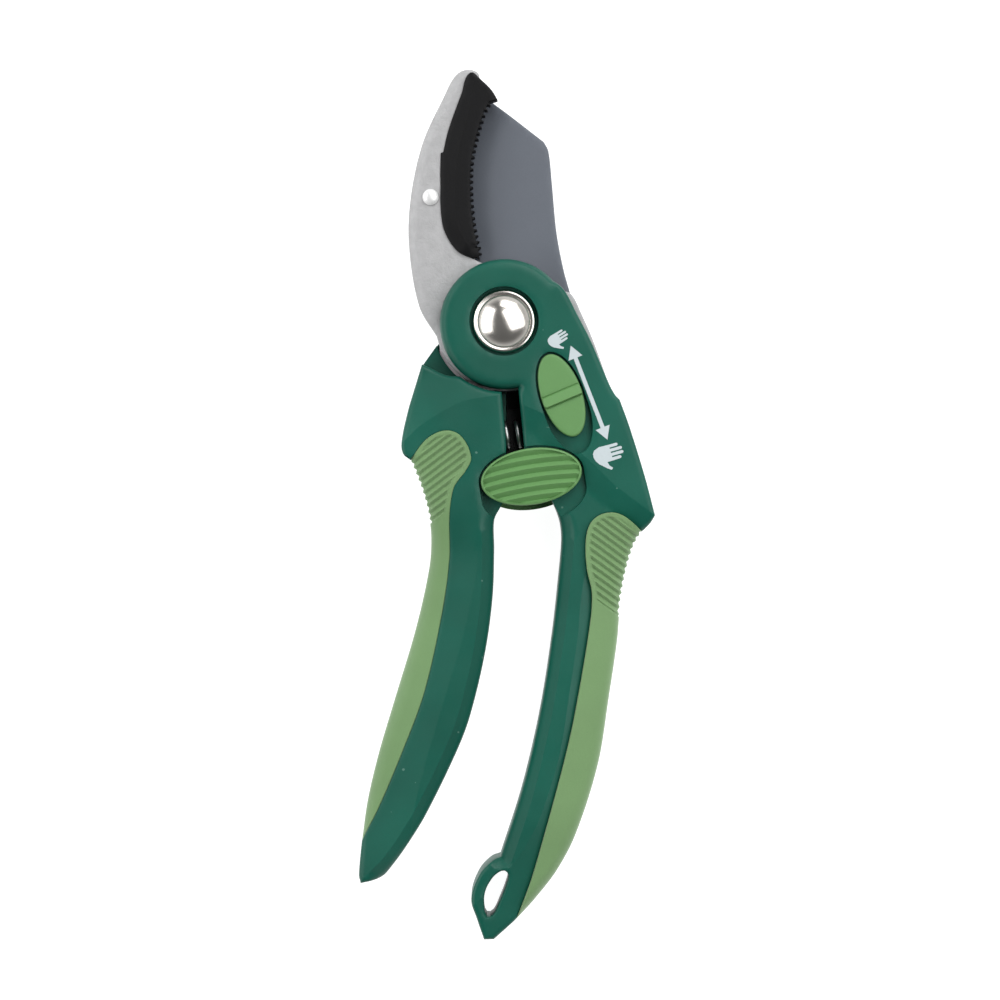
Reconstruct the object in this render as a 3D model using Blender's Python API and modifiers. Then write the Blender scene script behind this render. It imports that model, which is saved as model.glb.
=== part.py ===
"""Pruning shears with a toothed counter jaw, a lock button and an opening-width selector.

Frame: +Z is the pivot axis, pointing out of the front, the side with the domed bolt head. +Y runs to the jaw's
tip. The shears lie on their back on the plane z = 0, and the origin is where the pivot axis meets that plane.
The model is closed and locked. Sizes and outlines are in millimetres, and MM turns them into metres.
"""

import math

import bmesh
import bpy
from mathutils import Matrix, Vector
from mathutils.geometry import convex_hull_2d

MM = 0.001

# Overall sizes. Outlines are drawn for the DRAWN runs and stretched to the real ones.
JAW_RUN = 40.0
DRAWN_JAW_RUN = 40.0
JAW_RUN_START = 20.0
GRIP_RUN = 70.0
DRAWN_GRIP_RUN = 70.0
GRIP_RUN_START = -52.0

# Clearances.
GAP = 0.3
SLIDE_GAP = 0.5
HEAD_CLEARANCE = 0.6
STEP = 0.1  # keeps the floors of two pockets that meet at different heights

# Layers, from the back to the front.
REAR_HEAD_DEPTH = 7.2
BLADE_THICKNESS = 3.0
JAW_THICKNESS = 3.6
FRONT_HEAD_DEPTH = 5.3
BLADE_BACK = REAR_HEAD_DEPTH + GAP
BLADE_FRONT = BLADE_BACK + BLADE_THICKNESS
JAW_BACK = BLADE_FRONT + GAP
JAW_FRONT = JAW_BACK + JAW_THICKNESS
HEAD_BACK = JAW_FRONT + GAP
HANDLE_FRONT = HEAD_BACK + FRONT_HEAD_DEPTH
EDGE_ROUND = 1.2

# Pivot.
HEAD_RADIUS = 15.4
BASE_RADIUS = 16.2
HOOD_RADIUS = 16.8
HEEL_RADIUS = 20.0
SHANK_RADIUS = 3.5
CAP_RADIUS = 7.5
CAP_RISE = 1.6
CAP_SEAT_DEPTH = 2.8
BUSH_WALL = 1.2
NUT_RADIUS = 7.0
NUT_HEIGHT = 4.6
NUT_FLOOR = 1.4
WASHER_THICKNESS = 0.6

# Serrated pad and its rivet.
PAD_RISE = 1.4
TOOTH_PITCH = 1.5
TOOTH_DEPTH = 0.7
TONGUE_THICKNESS = 1.0
RIVET_X = -17.3
RIVET_DRAWN_Y = 29.4
RIVET_HEAD_RADIUS = 1.9
RIVET_RADIUS = 1.0
RIVET_HEAD_HEIGHT = 0.8

# Soft grips.
GRIP_SKIN = 2.4
GRIP_INSET = 0.3
GRIP_ROUND = 0.6
CORE_OVERLAP = 1.5

# Lock. The button slides down its own short axis to let go.
LOCK_X = 6.4
LOCK_Y = -36.4
LOCK_LONG = 11.9
LOCK_SHORT = 6.6
LOCK_TILT = 9.0
LOCK_TRAVEL = 4.0
LOCK_RISE = 1.2
LOCK_RECESS = 2.6
LOCK_REAR_DROP = 1.2
LOCK_BOSS_RADIUS = 2.7
LOCK_BOSS_X = 4.3
LOCK_PLATE_THICKNESS = 2.4
LOCK_PLATE_WIDTH = 6.0
LOCK_PLATE_LEFT = -3.4
LOCK_PLATE_RIGHT = 13.0

# Selector. The button slides down its own long axis from the small hand to the large one.
SELECTOR_X = 13.5
SELECTOR_Y = -17.4
SELECTOR_LONG = 10.1
SELECTOR_SHORT = 4.8
SELECTOR_TILT = 19.0
SELECTOR_TRAVEL = 3.6
SELECTOR_RISE = 0.6
SELECTOR_RECESS = 2.2
STEM_WIDTH = 3.0
STEM_LENGTH = 4.0
STOP_WIDTH = 3.4
STOP_LENGTH = 4.4

# Return spring, across the slot between the handles.
SPRING_Y = -26.5
SPRING_LEFT = -9.0
SPRING_RIGHT = 9.0
SPRING_RADIUS = 2.9
SPRING_WIRE = 0.6
SPRING_TURNS = 6
PEG_FLANGE = 0.6
PEG_LENGTH = 5.0

# Screws that close the handles, as drawn.
SCREW_HEAD_RADIUS = 2.7
SCREW_HEAD_HEIGHT = 1.8
SCREW_RADIUS = 1.3
SCREW_SEAT_DEPTH = 2.4
SCREW_TIP = 4.0
LEFT_SCREWS = ((-14.5, -19.5), (-11.0, -80.0), (-20.5, -108.0))
RIGHT_SCREWS = ((21.5, -30.0), (14.6, -80.0), (8.2, -110.0))

# Small steel parts.
LEAF_THICKNESS = 0.4
LEAF_BULGE = 0.5
SMALL_SCREW_RADIUS = 1.0
SMALL_SCREW_HEAD = 1.9

# Outline sampling.
SAMPLE_LENGTH = 5.6
ARC_STEP = 14.0
TURN_STEPS = 20
SCREW_STEPS = 10
OVAL_STEPS = 24

LOCK_DIRECTION = Vector((math.sin(math.radians(LOCK_TILT)), -math.cos(math.radians(LOCK_TILT))))
SELECTOR_DIRECTION = Vector((math.sin(math.radians(SELECTOR_TILT)), -math.cos(math.radians(SELECTOR_TILT))))
SPRING_Z = (BLADE_FRONT + JAW_BACK) / 2
LOCK_PLATE_BACK = JAW_BACK
LOCK_PLATE_FRONT = LOCK_PLATE_BACK + LOCK_PLATE_THICKNESS
SHANK_HOLE = SHANK_RADIUS + GAP
PLATE_HOLE = SHANK_HOLE + BUSH_WALL + GAP


# ---------------------------------------------------------------- outlines

def stretch(y):
    """Moves a drawn y to where the real jaw and grip lengths put it."""
    if y > JAW_RUN_START:
        return JAW_RUN_START + (y - JAW_RUN_START) * JAW_RUN / DRAWN_JAW_RUN
    grip_end = GRIP_RUN_START - DRAWN_GRIP_RUN
    if y < grip_end:
        return y + DRAWN_GRIP_RUN - GRIP_RUN
    if y < GRIP_RUN_START:
        return GRIP_RUN_START + (y - GRIP_RUN_START) * GRIP_RUN / DRAWN_GRIP_RUN
    return y


def corner(x, y):
    """An outline point where the line turns sharply. A plain (x, y) is rounded through."""
    return (x, y, True)


def arc(radius, start, end, x=0.0, y=0.0):
    """Outline points along an arc about (x, y), angles in degrees."""
    count = max(2, math.ceil(abs(end - start) / ARC_STEP))
    points = []
    for index in range(count + 1):
        angle = math.radians(start + (end - start) * index / count)
        points.append(corner(x + radius * math.cos(angle), y + radius * math.sin(angle)))
    return points


def circle(radius, x=0.0, y=0.0, count=TURN_STEPS):
    """A closed round outline."""
    turn = 2 * math.pi / count
    return [(x + radius * math.cos(i * turn), y + radius * math.sin(i * turn)) for i in range(count)]


def heading(before, point, after):
    """The direction of an outline at a rounded point."""
    step = Vector(after[:2]) - Vector(before[:2])
    return step.normalized()


def sampled(points, closed=True):
    """Turns outline points into a fine polygon, stretched to the real lengths."""
    placed = [(p[0], stretch(p[1])) + tuple(p[2:]) for p in points]
    count = len(placed)
    last = count if closed else count - 1
    result = []
    for index in range(last):
        start = placed[index]
        end = placed[(index + 1) % count]
        chord = Vector(end[:2]) - Vector(start[:2])
        length = chord.length
        first_open = not closed and index == 0
        last_open = not closed and index == last - 1
        if len(start) > 2 or first_open:
            start_way = chord.normalized()
        else:
            start_way = heading(placed[index - 1], start, end)
        if len(end) > 2 or last_open:
            end_way = chord.normalized()
        else:
            end_way = heading(start, end, placed[(index + 2) % count])
        straight = (len(start) > 2 and len(end) > 2)
        pieces = 1 if straight else max(1, math.ceil(length / SAMPLE_LENGTH))
        for piece in range(pieces):
            t = piece / pieces
            near = Vector(start[:2]) * (2 * t ** 3 - 3 * t ** 2 + 1)
            far = Vector(end[:2]) * (3 * t ** 2 - 2 * t ** 3)
            leave = start_way * length * (t ** 3 - 2 * t ** 2 + t)
            arrive = end_way * length * (t ** 3 - t ** 2)
            result.append(tuple(near + far + leave + arrive))
    if not closed:
        result.append(tuple(placed[-1][:2]))
    return result


def grown(polygon, distance):
    """Moves every edge of a closed polygon outwards, or inwards for a negative distance."""
    area = sum(a[0] * b[1] - b[0] * a[1] for a, b in zip(polygon, polygon[1:] + polygon[:1]))
    side = 1.0 if area > 0 else -1.0
    result = []
    for index, point in enumerate(polygon):
        before = (Vector(point) - Vector(polygon[index - 1])).normalized()
        after = (Vector(polygon[(index + 1) % len(polygon)]) - Vector(point)).normalized()
        normal_before = Vector((before.y, -before.x)) * side
        normal_after = Vector((after.y, -after.x)) * side
        middle = (normal_before + normal_after).normalized()
        reach = min(1.6, 1.0 / max(0.2, middle.dot(normal_after)))
        result.append(tuple(Vector(point) + middle * distance * reach))
    return result


def ellipse(x, y, long, short, tilt, count=OVAL_STEPS):
    """An oval polygon, its long axis turned by tilt degrees from +X."""
    turn = math.radians(tilt)
    points = []
    for index in range(count):
        angle = 2 * math.pi * index / count
        u = long * math.cos(angle)
        v = short * math.sin(angle)
        points.append((x + u * math.cos(turn) - v * math.sin(turn), y + u * math.sin(turn) + v * math.cos(turn)))
    return points


def swept(polygon, way):
    """The outline that a convex polygon covers as it slides by the vector way."""
    reached = [Vector(point) for point in polygon] + [Vector(point) + way for point in polygon]
    return [tuple(reached[index]) for index in convex_hull_2d(reached)]


def rectangle(x, y, long, short, tilt):
    """A rectangle polygon centred on (x, y)."""
    turn = math.radians(tilt)
    points = []
    for u, v in ((-1, -1), (1, -1), (1, 1), (-1, 1)):
        along = u * long / 2
        across = v * short / 2
        points.append((
            x + along * math.cos(turn) - across * math.sin(turn),
            y + along * math.sin(turn) + across * math.cos(turn),
        ))
    return points


def toothed(polyline, pitch, depth):
    """Cuts saw teeth into a line, towards its right-hand side as it runs."""
    lengths = [0.0]
    for a, b in zip(polyline, polyline[1:]):
        lengths.append(lengths[-1] + (Vector(b) - Vector(a)).length)
    halves = 2 * round(lengths[-1] / pitch)
    result = []
    for half in range(halves + 1):
        target = lengths[-1] * half / halves
        index = max(i for i in range(len(polyline) - 1) if lengths[i] <= target + 1e-9)
        a = Vector(polyline[index])
        b = Vector(polyline[index + 1])
        share = (target - lengths[index]) / (lengths[index + 1] - lengths[index])
        way = (b - a).normalized()
        inset = depth if half % 2 else 0.0
        result.append(tuple(a.lerp(b, share) + Vector((-way.y, way.x)) * inset))
    return result


# ---------------------------------------------------------------- the drawn lines of the shears

LEFT_OUTER_TOP = [(-20.9, -15.3), (-22.6, -21.2), (-24.0, -28.2), (-23.7, -31.0), (-22.0, -32.5)]
LEFT_OUTER = [
    (-19.3, -39.5), (-17.6, -46.0), (-17.1, -51.0), (-17.6, -58.0), (-20.7, -72.0), (-25.9, -89.4),
    (-29.4, -101.2), (-32.0, -112.2),
]
LEFT_OUTER_END = (-33.4, -121.9)
LEFT_END = [(-34.1, -130.0), corner(-33.7, -132.0), (-28.9, -130.6), (-26.4, -128.0)]
LEFT_INNER = [
    (-22.4, -122.4), (-18.1, -115.3), (-11.1, -100.9), (-8.0, -92.7), (-4.5, -78.1), (-2.7, -65.0),
    (-2.3, -53.6), (-2.3, -46.6), (-0.8, -43.5),
]
LEFT_SLOT = [corner(0.4, -41.0), corner(0.5, -28.9)]
LEFT_GRIP_TOP = [
    (-12.4, -42.0), (-11.5, -38.5), (-8.9, -35.0), (-7.7, -31.8), (-10.0, -27.0), (-13.6, -25.6), (-18.0, -27.5),
]
LEFT_GRIP_INNER = [
    (-29.4, -114.1), (-23.8, -100.9), (-18.7, -87.1), (-14.6, -68.9), (-12.8, -55.8), (-12.8, -46.6),
]
RIGHT_OUTER_TOP = [(17.2, 1.5), (20.6, -5.2), (24.9, -15.3), corner(26.1, -17.4)]
RIGHT_OUTER_WIDE = [corner(27.1, -18.4), (29.3, -24.4), (32.9, -36.0), corner(35.4, -45.5), (34.4, -47.2)]
RIGHT_OUTER_START = (32.4, -49.3)
RIGHT_OUTER = [
    (30.6, -52.5), (28.7, -58.8), (27.4, -66.0), (26.6, -75.0), (24.7, -88.0), (22.1, -104.0), (16.9, -120.4),
    (12.5, -128.9),
]
RIGHT_OUTER_END = [(7.3, -135.7), (2.9, -140.5)]
RIGHT_END = [
    corner(-2.4, -145.3), corner(-4.7, -145.3), (-6.3, -140.5), (-7.7, -135.5), (-5.8, -129.8),
    (-2.8, -126.6), corner(-0.8, -125.7),
]
RIGHT_INNER = [
    (4.2, -110.1), (8.4, -92.2), (11.3, -74.0), (12.9, -59.8), (13.6, -51.5), (13.3, -47.5), (12.4, -44.5),
    (10.6, -40.5), (8.8, -35.0), (6.6, -31.5),
]
RIGHT_SLOT = [corner(4.8, -30.0)]
RIGHT_REAR_SLOT = [corner(4.8, -30.6), corner(1.1, -30.4)]  # the rear cover closes the slot behind the spring
RIGHT_GRIP_TOP = [
    (29.7, -46.8), (27.6, -45.4), (25.1, -44.8), (22.1, -45.6), (20.0, -47.8), (19.1, -52.0), (19.4, -58.0),
]
RIGHT_GRIP_INNER = [
    (20.6, -64.0), (20.0, -72.0), (16.5, -92.5), (14.0, -103.5), (9.9, -118.8), (6.3, -131.3),
]
HANG_HOLE = [(0.1, -128.9), (1.0, -129.9), (0.5, -132.4), (-0.9, -136.0), (-2.5, -139.3), (-4.0, -139.8),
             (-4.7, -137.4), (-4.4, -133.8), (-3.0, -131.0), (-1.4, -129.4)]

JAW_OUTER = [
    (-5.8, 58.2), (-8.5, 59.6), (-11.4, 58.2), (-14.1, 53.3), (-19.2, 42.1), (-22.0, 29.3), (-22.4, 18.1),
    (-20.0, 3.8),
]
JAW_TANG = [
    corner(5.2, -17.2), corner(6.0, -21.4), corner(10.9, -21.8), corner(11.2, -30.2), corner(15.8, -31.6),
    (15.9, -46.0), (15.2, -56.0),
    corner(13.8, -72.0), corner(17.2, -72.0), (18.4, -58.0), (18.6, -50.5), (21.0, -45.0), (26.5, -40.0),
    (27.0, -30.0), corner(25.6, -17.4), (21.4, -5.4), (18.4, 1.6), (15.4, 7.0),
]
JAW_INNER = [
    (-6.6, 14.6), (-10.5, 18.5), (-12.2, 24.0), (-12.5, 31.0), (-11.6, 39.0), (-9.4, 47.0), (-7.2, 54.0),
]
PAD_BACK = [
    (-8.0, 58.7), (-10.0, 53.8), (-13.1, 45.2), corner(-14.3, 40.0), corner(-14.9, 39.8), (-15.0, 34.0),
    (-14.4, 22.7), (-11.1, 16.8), corner(-6.4, 14.5),
]
PAD_TEETH = [
    (-5.2, 15.6), (-5.9, 18.6), (-7.0, 23.2), (-7.7, 30.0), (-7.4, 38.6), (-4.9, 48.7), (-3.2, 51.6),
]
PAD_TOP = [corner(-1.5, 52.2), (-2.8, 54.4), (-5.2, 56.8)]
PAD_TONGUE = [corner(-20.0, 25.6), corner(-20.0, 33.2), corner(-10.0, 33.2), corner(-10.0, 25.6)]
BLADE_EDGE = [
    corner(-4.0, 53.2), (-7.5, 47.5), (-10.2, 40.0), (-11.2, 32.0), (-10.9, 24.5), (-9.9, 18.0),
]
BLADE_BACKBONE = [
    (12.4, 21.6), (11.3, 33.4), (10.5, 40.7), corner(9.4, 42.8),
]
BLADE_TANG = [
    corner(-15.4, -9.0), (-17.5, -14.0), (-18.6, -20.0), (-18.8, -28.0), (-17.5, -34.0), (-12.5, -40.5),
    (-11.0, -46.0), (-10.9, -58.0), corner(-12.5, -72.0), corner(-8.3, -72.5), (-6.8, -58.0), (-6.7, -46.0),
    (-8.4, -37.0), corner(-10.9, -31.0), corner(-10.9, -22.0), corner(-2.2, -21.4),
]


def left_front_outline():
    """The left handle from the front: a hood that clears the right handle's round head."""
    hood = [corner(-19.3, -10.0), (-16.5, -11.3), (-13.5, -12.9)] + arc(HOOD_RADIUS, 232, 268)
    rest = [LEFT_OUTER_END] + LEFT_OUTER[::-1] + LEFT_OUTER_TOP[::-1]
    return sampled(hood + LEFT_SLOT[::-1] + LEFT_INNER[::-1] + LEFT_END[::-1] + rest)


def left_rear_outline():
    """The left handle from the back, with its own round head behind the blade."""
    head = [corner(-19.1, -9.9)] + arc(HEAD_RADIUS, 195, -88)
    rest = [LEFT_OUTER_END] + LEFT_OUTER[::-1] + LEFT_OUTER_TOP[::-1]
    return sampled(head + LEFT_SLOT[::-1] + LEFT_INNER[::-1] + LEFT_END[::-1] + rest)


def right_front_outline():
    """The right handle from the front, with the round head over the pivot."""
    head = [corner(3.2, -16.2)] + arc(HEAD_RADIUS, -78, -318)
    lower = RIGHT_OUTER_WIDE + [RIGHT_OUTER_START] + RIGHT_OUTER + RIGHT_OUTER_END + RIGHT_END + RIGHT_INNER
    return sampled(head + [(14.1, 7.3)] + RIGHT_OUTER_TOP + lower + RIGHT_SLOT)


def right_rear_outline():
    """The right handle from the back: a hood that clears the left handle's round head."""
    hood = arc(HOOD_RADIUS, -86, -45) + [(17.5, -12.4), (22.5, -14.4)]
    lower = RIGHT_OUTER_WIDE + [RIGHT_OUTER_START] + RIGHT_OUTER + RIGHT_OUTER_END + RIGHT_END + RIGHT_INNER
    return sampled(hood + lower + RIGHT_REAR_SLOT)


def left_grip_outline():
    """The soft left grip: a round lobe at the top, then a strip down the outer edge."""
    ends = [corner(*LEFT_OUTER_END)]
    return sampled(ends + LEFT_GRIP_INNER + LEFT_GRIP_TOP + [corner(*LEFT_OUTER_TOP[-1])] + LEFT_OUTER)


def right_grip_outline():
    """The soft right grip, the same on the other side."""
    lower = [corner(*RIGHT_OUTER_END[-1])]
    rest = RIGHT_GRIP_TOP + RIGHT_GRIP_INNER
    return sampled([corner(*RIGHT_OUTER_START)] + rest + lower + RIGHT_OUTER_END[:1] + RIGHT_OUTER[::-1])


def shifted(points, dx):
    """The same drawn points, moved sideways."""
    return [(p[0] + dx,) + tuple(p[1:]) for p in points]


def left_core_outline():
    """The hard core that the left grip wraps."""
    inset = GRIP_SKIN + GAP
    top = [(-7.7 + CORE_OVERLAP, -31.8), (-10.0, -25.6), (-13.6, -24.1), (-18.0, -26.2), (-20.0, -29.0)]
    outer = shifted([(-22.0, -32.5)] + LEFT_OUTER, inset)
    inner = shifted(LEFT_GRIP_INNER + LEFT_GRIP_TOP[:3], CORE_OVERLAP)
    return sampled([corner(*outer[-1])] + inner + top + outer[:-1])


def right_core_outline():
    """The hard core that the right grip wraps."""
    inset = -GRIP_SKIN - GAP
    top = [(28.0, -45.0), (25.1, -43.3), (21.4, -44.4), (18.7, -47.4)]
    outer = shifted([RIGHT_OUTER_START] + RIGHT_OUTER[:-1], inset)
    inner = shifted(RIGHT_GRIP_TOP[-2:] + RIGHT_GRIP_INNER[:-1], -CORE_OVERLAP)
    return sampled(top + inner + [corner(*outer[-1])] + outer[:-1][::-1])


def jaw_outline():
    """The counter jaw's plate: the jaw, a round middle and the tang."""
    middle = arc(BASE_RADIUS, 192, 289)
    top = arc(HEAD_RADIUS - 1.0, 27, 108)
    return sampled(JAW_OUTER + middle + JAW_TANG + top + JAW_INNER)


def blade_outline():
    """The blade's plate: the blade, a round middle with a heel, and the tang."""
    middle = arc(BASE_RADIUS, 122, 200)
    under = arc(BASE_RADIUS, 262, 342)
    heel = [corner(HEEL_RADIUS * math.cos(math.radians(-11)), HEEL_RADIUS * math.sin(math.radians(-11))),
            (17.4, 0.9), (15.5, 7.5), (14.0, 13.0)]
    return sampled(BLADE_EDGE + middle + BLADE_TANG + under + heel + BLADE_BACKBONE)


def pad_outline():
    """The serrated pad, toothed along the blade's side."""
    teeth = toothed(sampled([corner(-6.4, 14.5)] + PAD_TEETH, closed=False), TOOTH_PITCH, TOOTH_DEPTH)
    back = sampled(PAD_TOP + PAD_BACK, closed=False)
    return back[:-1] + teeth


# ---------------------------------------------------------------- making objects

for old in list(bpy.data.objects):
    bpy.data.objects.remove(old, do_unlink=True)

parts = bpy.data.collections.new("pruning_shears")
cutters = bpy.data.collections.new("cutters")
bpy.context.scene.collection.children.link(parts)
bpy.context.scene.collection.children.link(cutters)


def material(name, colour, roughness, metallic=0.0):
    """A Principled material in one colour."""
    made = bpy.data.materials.new(name)
    made.use_nodes = True
    shader = made.node_tree.nodes["Principled BSDF"]
    shader.inputs["Base Color"].default_value = (*colour, 1.0)
    shader.inputs["Roughness"].default_value = roughness
    shader.inputs["Metallic"].default_value = metallic
    made.diffuse_color = (*colour, 1.0)
    return made


def empty(name, x, y):
    """An empty on a joint's axis, which carries the pieces that move about it or along it."""
    made = bpy.data.objects.new(name, None)
    made.location = (x * MM, y * MM, 0)
    parts.objects.link(made)
    return made


def finish(made, look, body):
    """Gives a piece its material and its parent, and shades its round faces smooth."""
    made.data.materials.clear()
    made.data.materials.append(look)
    made.data.shade_smooth()
    made.data.set_sharp_from_angle(angle=math.radians(35))
    made.parent = body
    made.matrix_parent_inverse = Matrix.Translation(-body.location)
    return made


def as_cutter(made):
    """Hides a piece that only shapes others."""
    made.hide_render = True
    made.display_type = "WIRE"
    return made


def rounded_rim(mesh, level, width):
    """Rounds the edges of a plate's flat face at the given height."""
    rim = [
        edge for edge in mesh.edges
        if all(abs(v.co.z - level) < 1e-7 for v in edge.verts) and edge.calc_face_angle(0) > 0.5
    ]
    bmesh.ops.bevel(mesh, geom=rim, offset=width * MM, segments=1, profile=0.5, affect="EDGES")


def plate(name, polygons, back, front, where=None, round_front=0.0, round_back=0.0):
    """A flat outline, with any holes, between two heights."""
    curve = bpy.data.curves.new(name, "CURVE")
    curve.dimensions = "2D"
    curve.fill_mode = "BOTH"
    curve.extrude = (front - back) / 2 * MM
    for polygon in polygons:
        spline = curve.splines.new("POLY")
        spline.points.add(len(polygon) - 1)
        spline.use_cyclic_u = True
        for point, (x, y) in zip(spline.points, polygon):
            point.co = (x * MM, y * MM, 0, 1)
    drawn = bpy.data.objects.new(name + "_drawn", curve)
    drawn.location.z = (front + back) / 2 * MM
    bpy.context.scene.collection.objects.link(drawn)
    bpy.context.view_layer.update()
    mesh = bpy.data.meshes.new_from_object(drawn.evaluated_get(bpy.context.evaluated_depsgraph_get()))
    mesh.name = name
    solid = bmesh.new()
    solid.from_mesh(mesh)
    bmesh.ops.remove_doubles(solid, verts=solid.verts, dist=1e-6)
    bmesh.ops.recalc_face_normals(solid, faces=solid.faces)
    if len(polygons) == 1:
        bmesh.ops.dissolve_limit(
            solid, angle_limit=1e-4, verts=[], edges=[e for e in solid.edges if e.calc_face_angle(1) < 1e-4],
        )
    half = (front - back) / 2 * MM
    if round_front:
        rounded_rim(solid, half, round_front)
    if round_back:
        rounded_rim(solid, -half, round_back)
    solid.to_mesh(mesh)
    solid.free()
    made = bpy.data.objects.new(name, mesh)
    made.matrix_world = drawn.matrix_world.copy()
    bpy.data.objects.remove(drawn, do_unlink=True)
    (where or parts).objects.link(made)
    return made


def turned(name, profile, x=0.0, y=0.0, z=0.0, where=None, sideways=False, steps=TURN_STEPS):
    """A turned piece. Its profile of (radius, height) runs down the outer side; a closed one makes a ring."""
    ring = all(radius > 0 for radius, height in profile)
    mesh = bpy.data.meshes.new(name)
    points = [(radius * MM, 0, height * MM) for radius, height in profile]
    edges = [(i, i + 1) for i in range(len(points) - 1)]
    if ring:
        edges.append((len(points) - 1, 0))
    mesh.from_pydata(points, edges, [])
    made = bpy.data.objects.new(name, mesh)
    made.location = (x * MM, y * MM, z * MM)
    if sideways:
        made.rotation_euler.y = math.radians(90)
    (where or parts).objects.link(made)
    screw = made.modifiers.new("turn", "SCREW")
    screw.steps = steps
    screw.render_steps = steps
    screw.use_merge_vertices = True
    screw.merge_threshold = 1e-6
    screw.use_smooth_shade = True
    return made


def cylinder_profile(radius, low, high):
    """The profile of a plain round pin."""
    return [(0, high), (radius, high), (radius, low), (0, low)]


def combine(made, other, operation, solver="EXACT"):
    """Cuts or joins another solid, with a Boolean modifier."""
    boolean = made.modifiers.new(operation.lower() + "_" + other.name, "BOOLEAN")
    boolean.operation = operation
    boolean.object = other
    boolean.solver = solver


def cut(made, *others):
    """Cuts each of the other solids out."""
    for other in others:
        combine(made, other, "DIFFERENCE")


def join(made, *others):
    """Joins each of the other solids on."""
    for other in others:
        combine(made, other, "UNION")


def cutter_plate(name, polygon, back, front):
    """A flat outline that only cuts or joins."""
    return as_cutter(plate(name, [polygon], back, front, where=cutters))


def cutter_rod(name, radius, back, front, x=0.0, y=0.0, sideways=False):
    """A round cutter, standing up or, sideways, lying along X between two values of x."""
    steps = SCREW_STEPS if radius < CAP_RADIUS / 2 else TURN_STEPS
    z = SPRING_Z if sideways else 0.0
    profile = cylinder_profile(radius, back, front)
    return as_cutter(turned(name, profile, x, y, z, where=cutters, sideways=sideways, steps=steps))


def stepped_rod(name, wide, wide_end, narrow, narrow_end, step, x=0.0, y=0.0):
    """A round cutter that is wide from wide_end to the step and narrow from there to narrow_end."""
    profile = [(0, wide_end), (wide, wide_end), (wide, step), (narrow, step), (narrow, narrow_end), (0, narrow_end)]
    if narrow_end > wide_end:
        profile.reverse()
    steps = SCREW_STEPS if wide < CAP_RADIUS / 2 else TURN_STEPS
    return as_cutter(turned(name, profile, x, y, where=cutters, steps=steps))


# ---------------------------------------------------------------- materials and bodies

DARK_GREEN = material("dark_green_plastic", (0.012, 0.107, 0.076), 0.42)
LIGHT_GREEN = material("light_green_rubber", (0.165, 0.352, 0.136), 0.6)
GREEN_BUTTON = material("light_green_plastic", (0.165, 0.352, 0.136), 0.45)
BRIGHT_STEEL = material("blasted_steel", (0.52, 0.52, 0.53), 0.38, 1.0)
COATED_STEEL = material("coated_steel", (0.14, 0.16, 0.19), 0.42, 0.6)
CHROME = material("chrome", (0.75, 0.74, 0.7), 0.12, 1.0)
BLACK_PAD = material("black_plastic", (0.015, 0.015, 0.016), 0.5)
SPRING_STEEL = material("spring_steel", (0.55, 0.55, 0.55), 0.3, 1.0)

right = empty("right_handle_origin", 0, 0)
left = empty("left_handle_pivot", 0, 0)
lock = empty("lock_axis", LOCK_X, LOCK_Y)
selector = empty("selector_axis", SELECTOR_X, SELECTOR_Y)

BEYOND = 5.0  # how far a cutter runs past an open face


# ---------------------------------------------------------------- jaws

def make_jaw():
    """The bright counter jaw, with a slot in its edge for the pad's tongue."""
    stem_slot = swept(grown(rectangle(
        SELECTOR_X, SELECTOR_Y, STEM_LENGTH, STEM_WIDTH, 90 + SELECTOR_TILT,
    ), SLIDE_GAP), SELECTOR_DIRECTION * SELECTOR_TRAVEL)
    holes = [
        circle(PLATE_HOLE),
        circle(RIVET_RADIUS + GAP, RIVET_X, stretch(RIVET_DRAWN_Y), SCREW_STEPS),
        circle(SCREW_RADIUS + GAP, *RIGHT_SCREWS[0], SCREW_STEPS),
        stem_slot,
    ]
    jaw = plate("counter_jaw", [jaw_outline()] + holes, JAW_BACK, JAW_FRONT)
    middle = (JAW_BACK + JAW_FRONT) / 2
    half = TONGUE_THICKNESS / 2 + GAP
    tongue_room = grown(sampled(PAD_TONGUE), GAP)
    cut(jaw, cutter_plate("tongue_slot", tongue_room, middle - half, middle + half))
    return finish(jaw, BRIGHT_STEEL, right)


def make_pad():
    """The black toothed pad: it laps over the jaw's edge and its tongue goes into the jaw."""
    pad = plate("serrated_pad", [pad_outline()], JAW_BACK, JAW_FRONT + PAD_RISE, round_front=0.4)
    cut(pad, cutter_plate("jaw_room", grown(jaw_outline(), GAP), JAW_BACK - BEYOND, JAW_FRONT + GAP))
    middle = (JAW_BACK + JAW_FRONT) / 2
    half = TONGUE_THICKNESS / 2
    join(pad, cutter_plate("pad_tongue", sampled(PAD_TONGUE), middle - half, middle + half))
    cut(pad, cutter_rod("rivet_room", RIVET_RADIUS + GAP, JAW_BACK - BEYOND, JAW_FRONT,
                        RIVET_X, stretch(RIVET_DRAWN_Y)))
    return finish(pad, BLACK_PAD, right)


def make_rivet():
    """The rivet through the jaw and the pad's tongue, headed on both sides."""
    front = JAW_FRONT + GAP
    back = JAW_BACK - GAP
    profile = [
        (0, front + RIVET_HEAD_HEIGHT),
        (RIVET_HEAD_RADIUS * 0.7, front + RIVET_HEAD_HEIGHT),
        (RIVET_HEAD_RADIUS, front + RIVET_HEAD_HEIGHT / 2),
        (RIVET_HEAD_RADIUS, front),
        (RIVET_RADIUS, front),
        (RIVET_RADIUS, back),
        (RIVET_HEAD_RADIUS, back),
        (RIVET_HEAD_RADIUS * 0.7, back - RIVET_HEAD_HEIGHT),
        (0, back - RIVET_HEAD_HEIGHT),
    ]
    rivet = turned("pad_rivet", profile, RIVET_X, stretch(RIVET_DRAWN_Y), steps=SCREW_STEPS)
    return finish(rivet, BRIGHT_STEEL, right)


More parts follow.
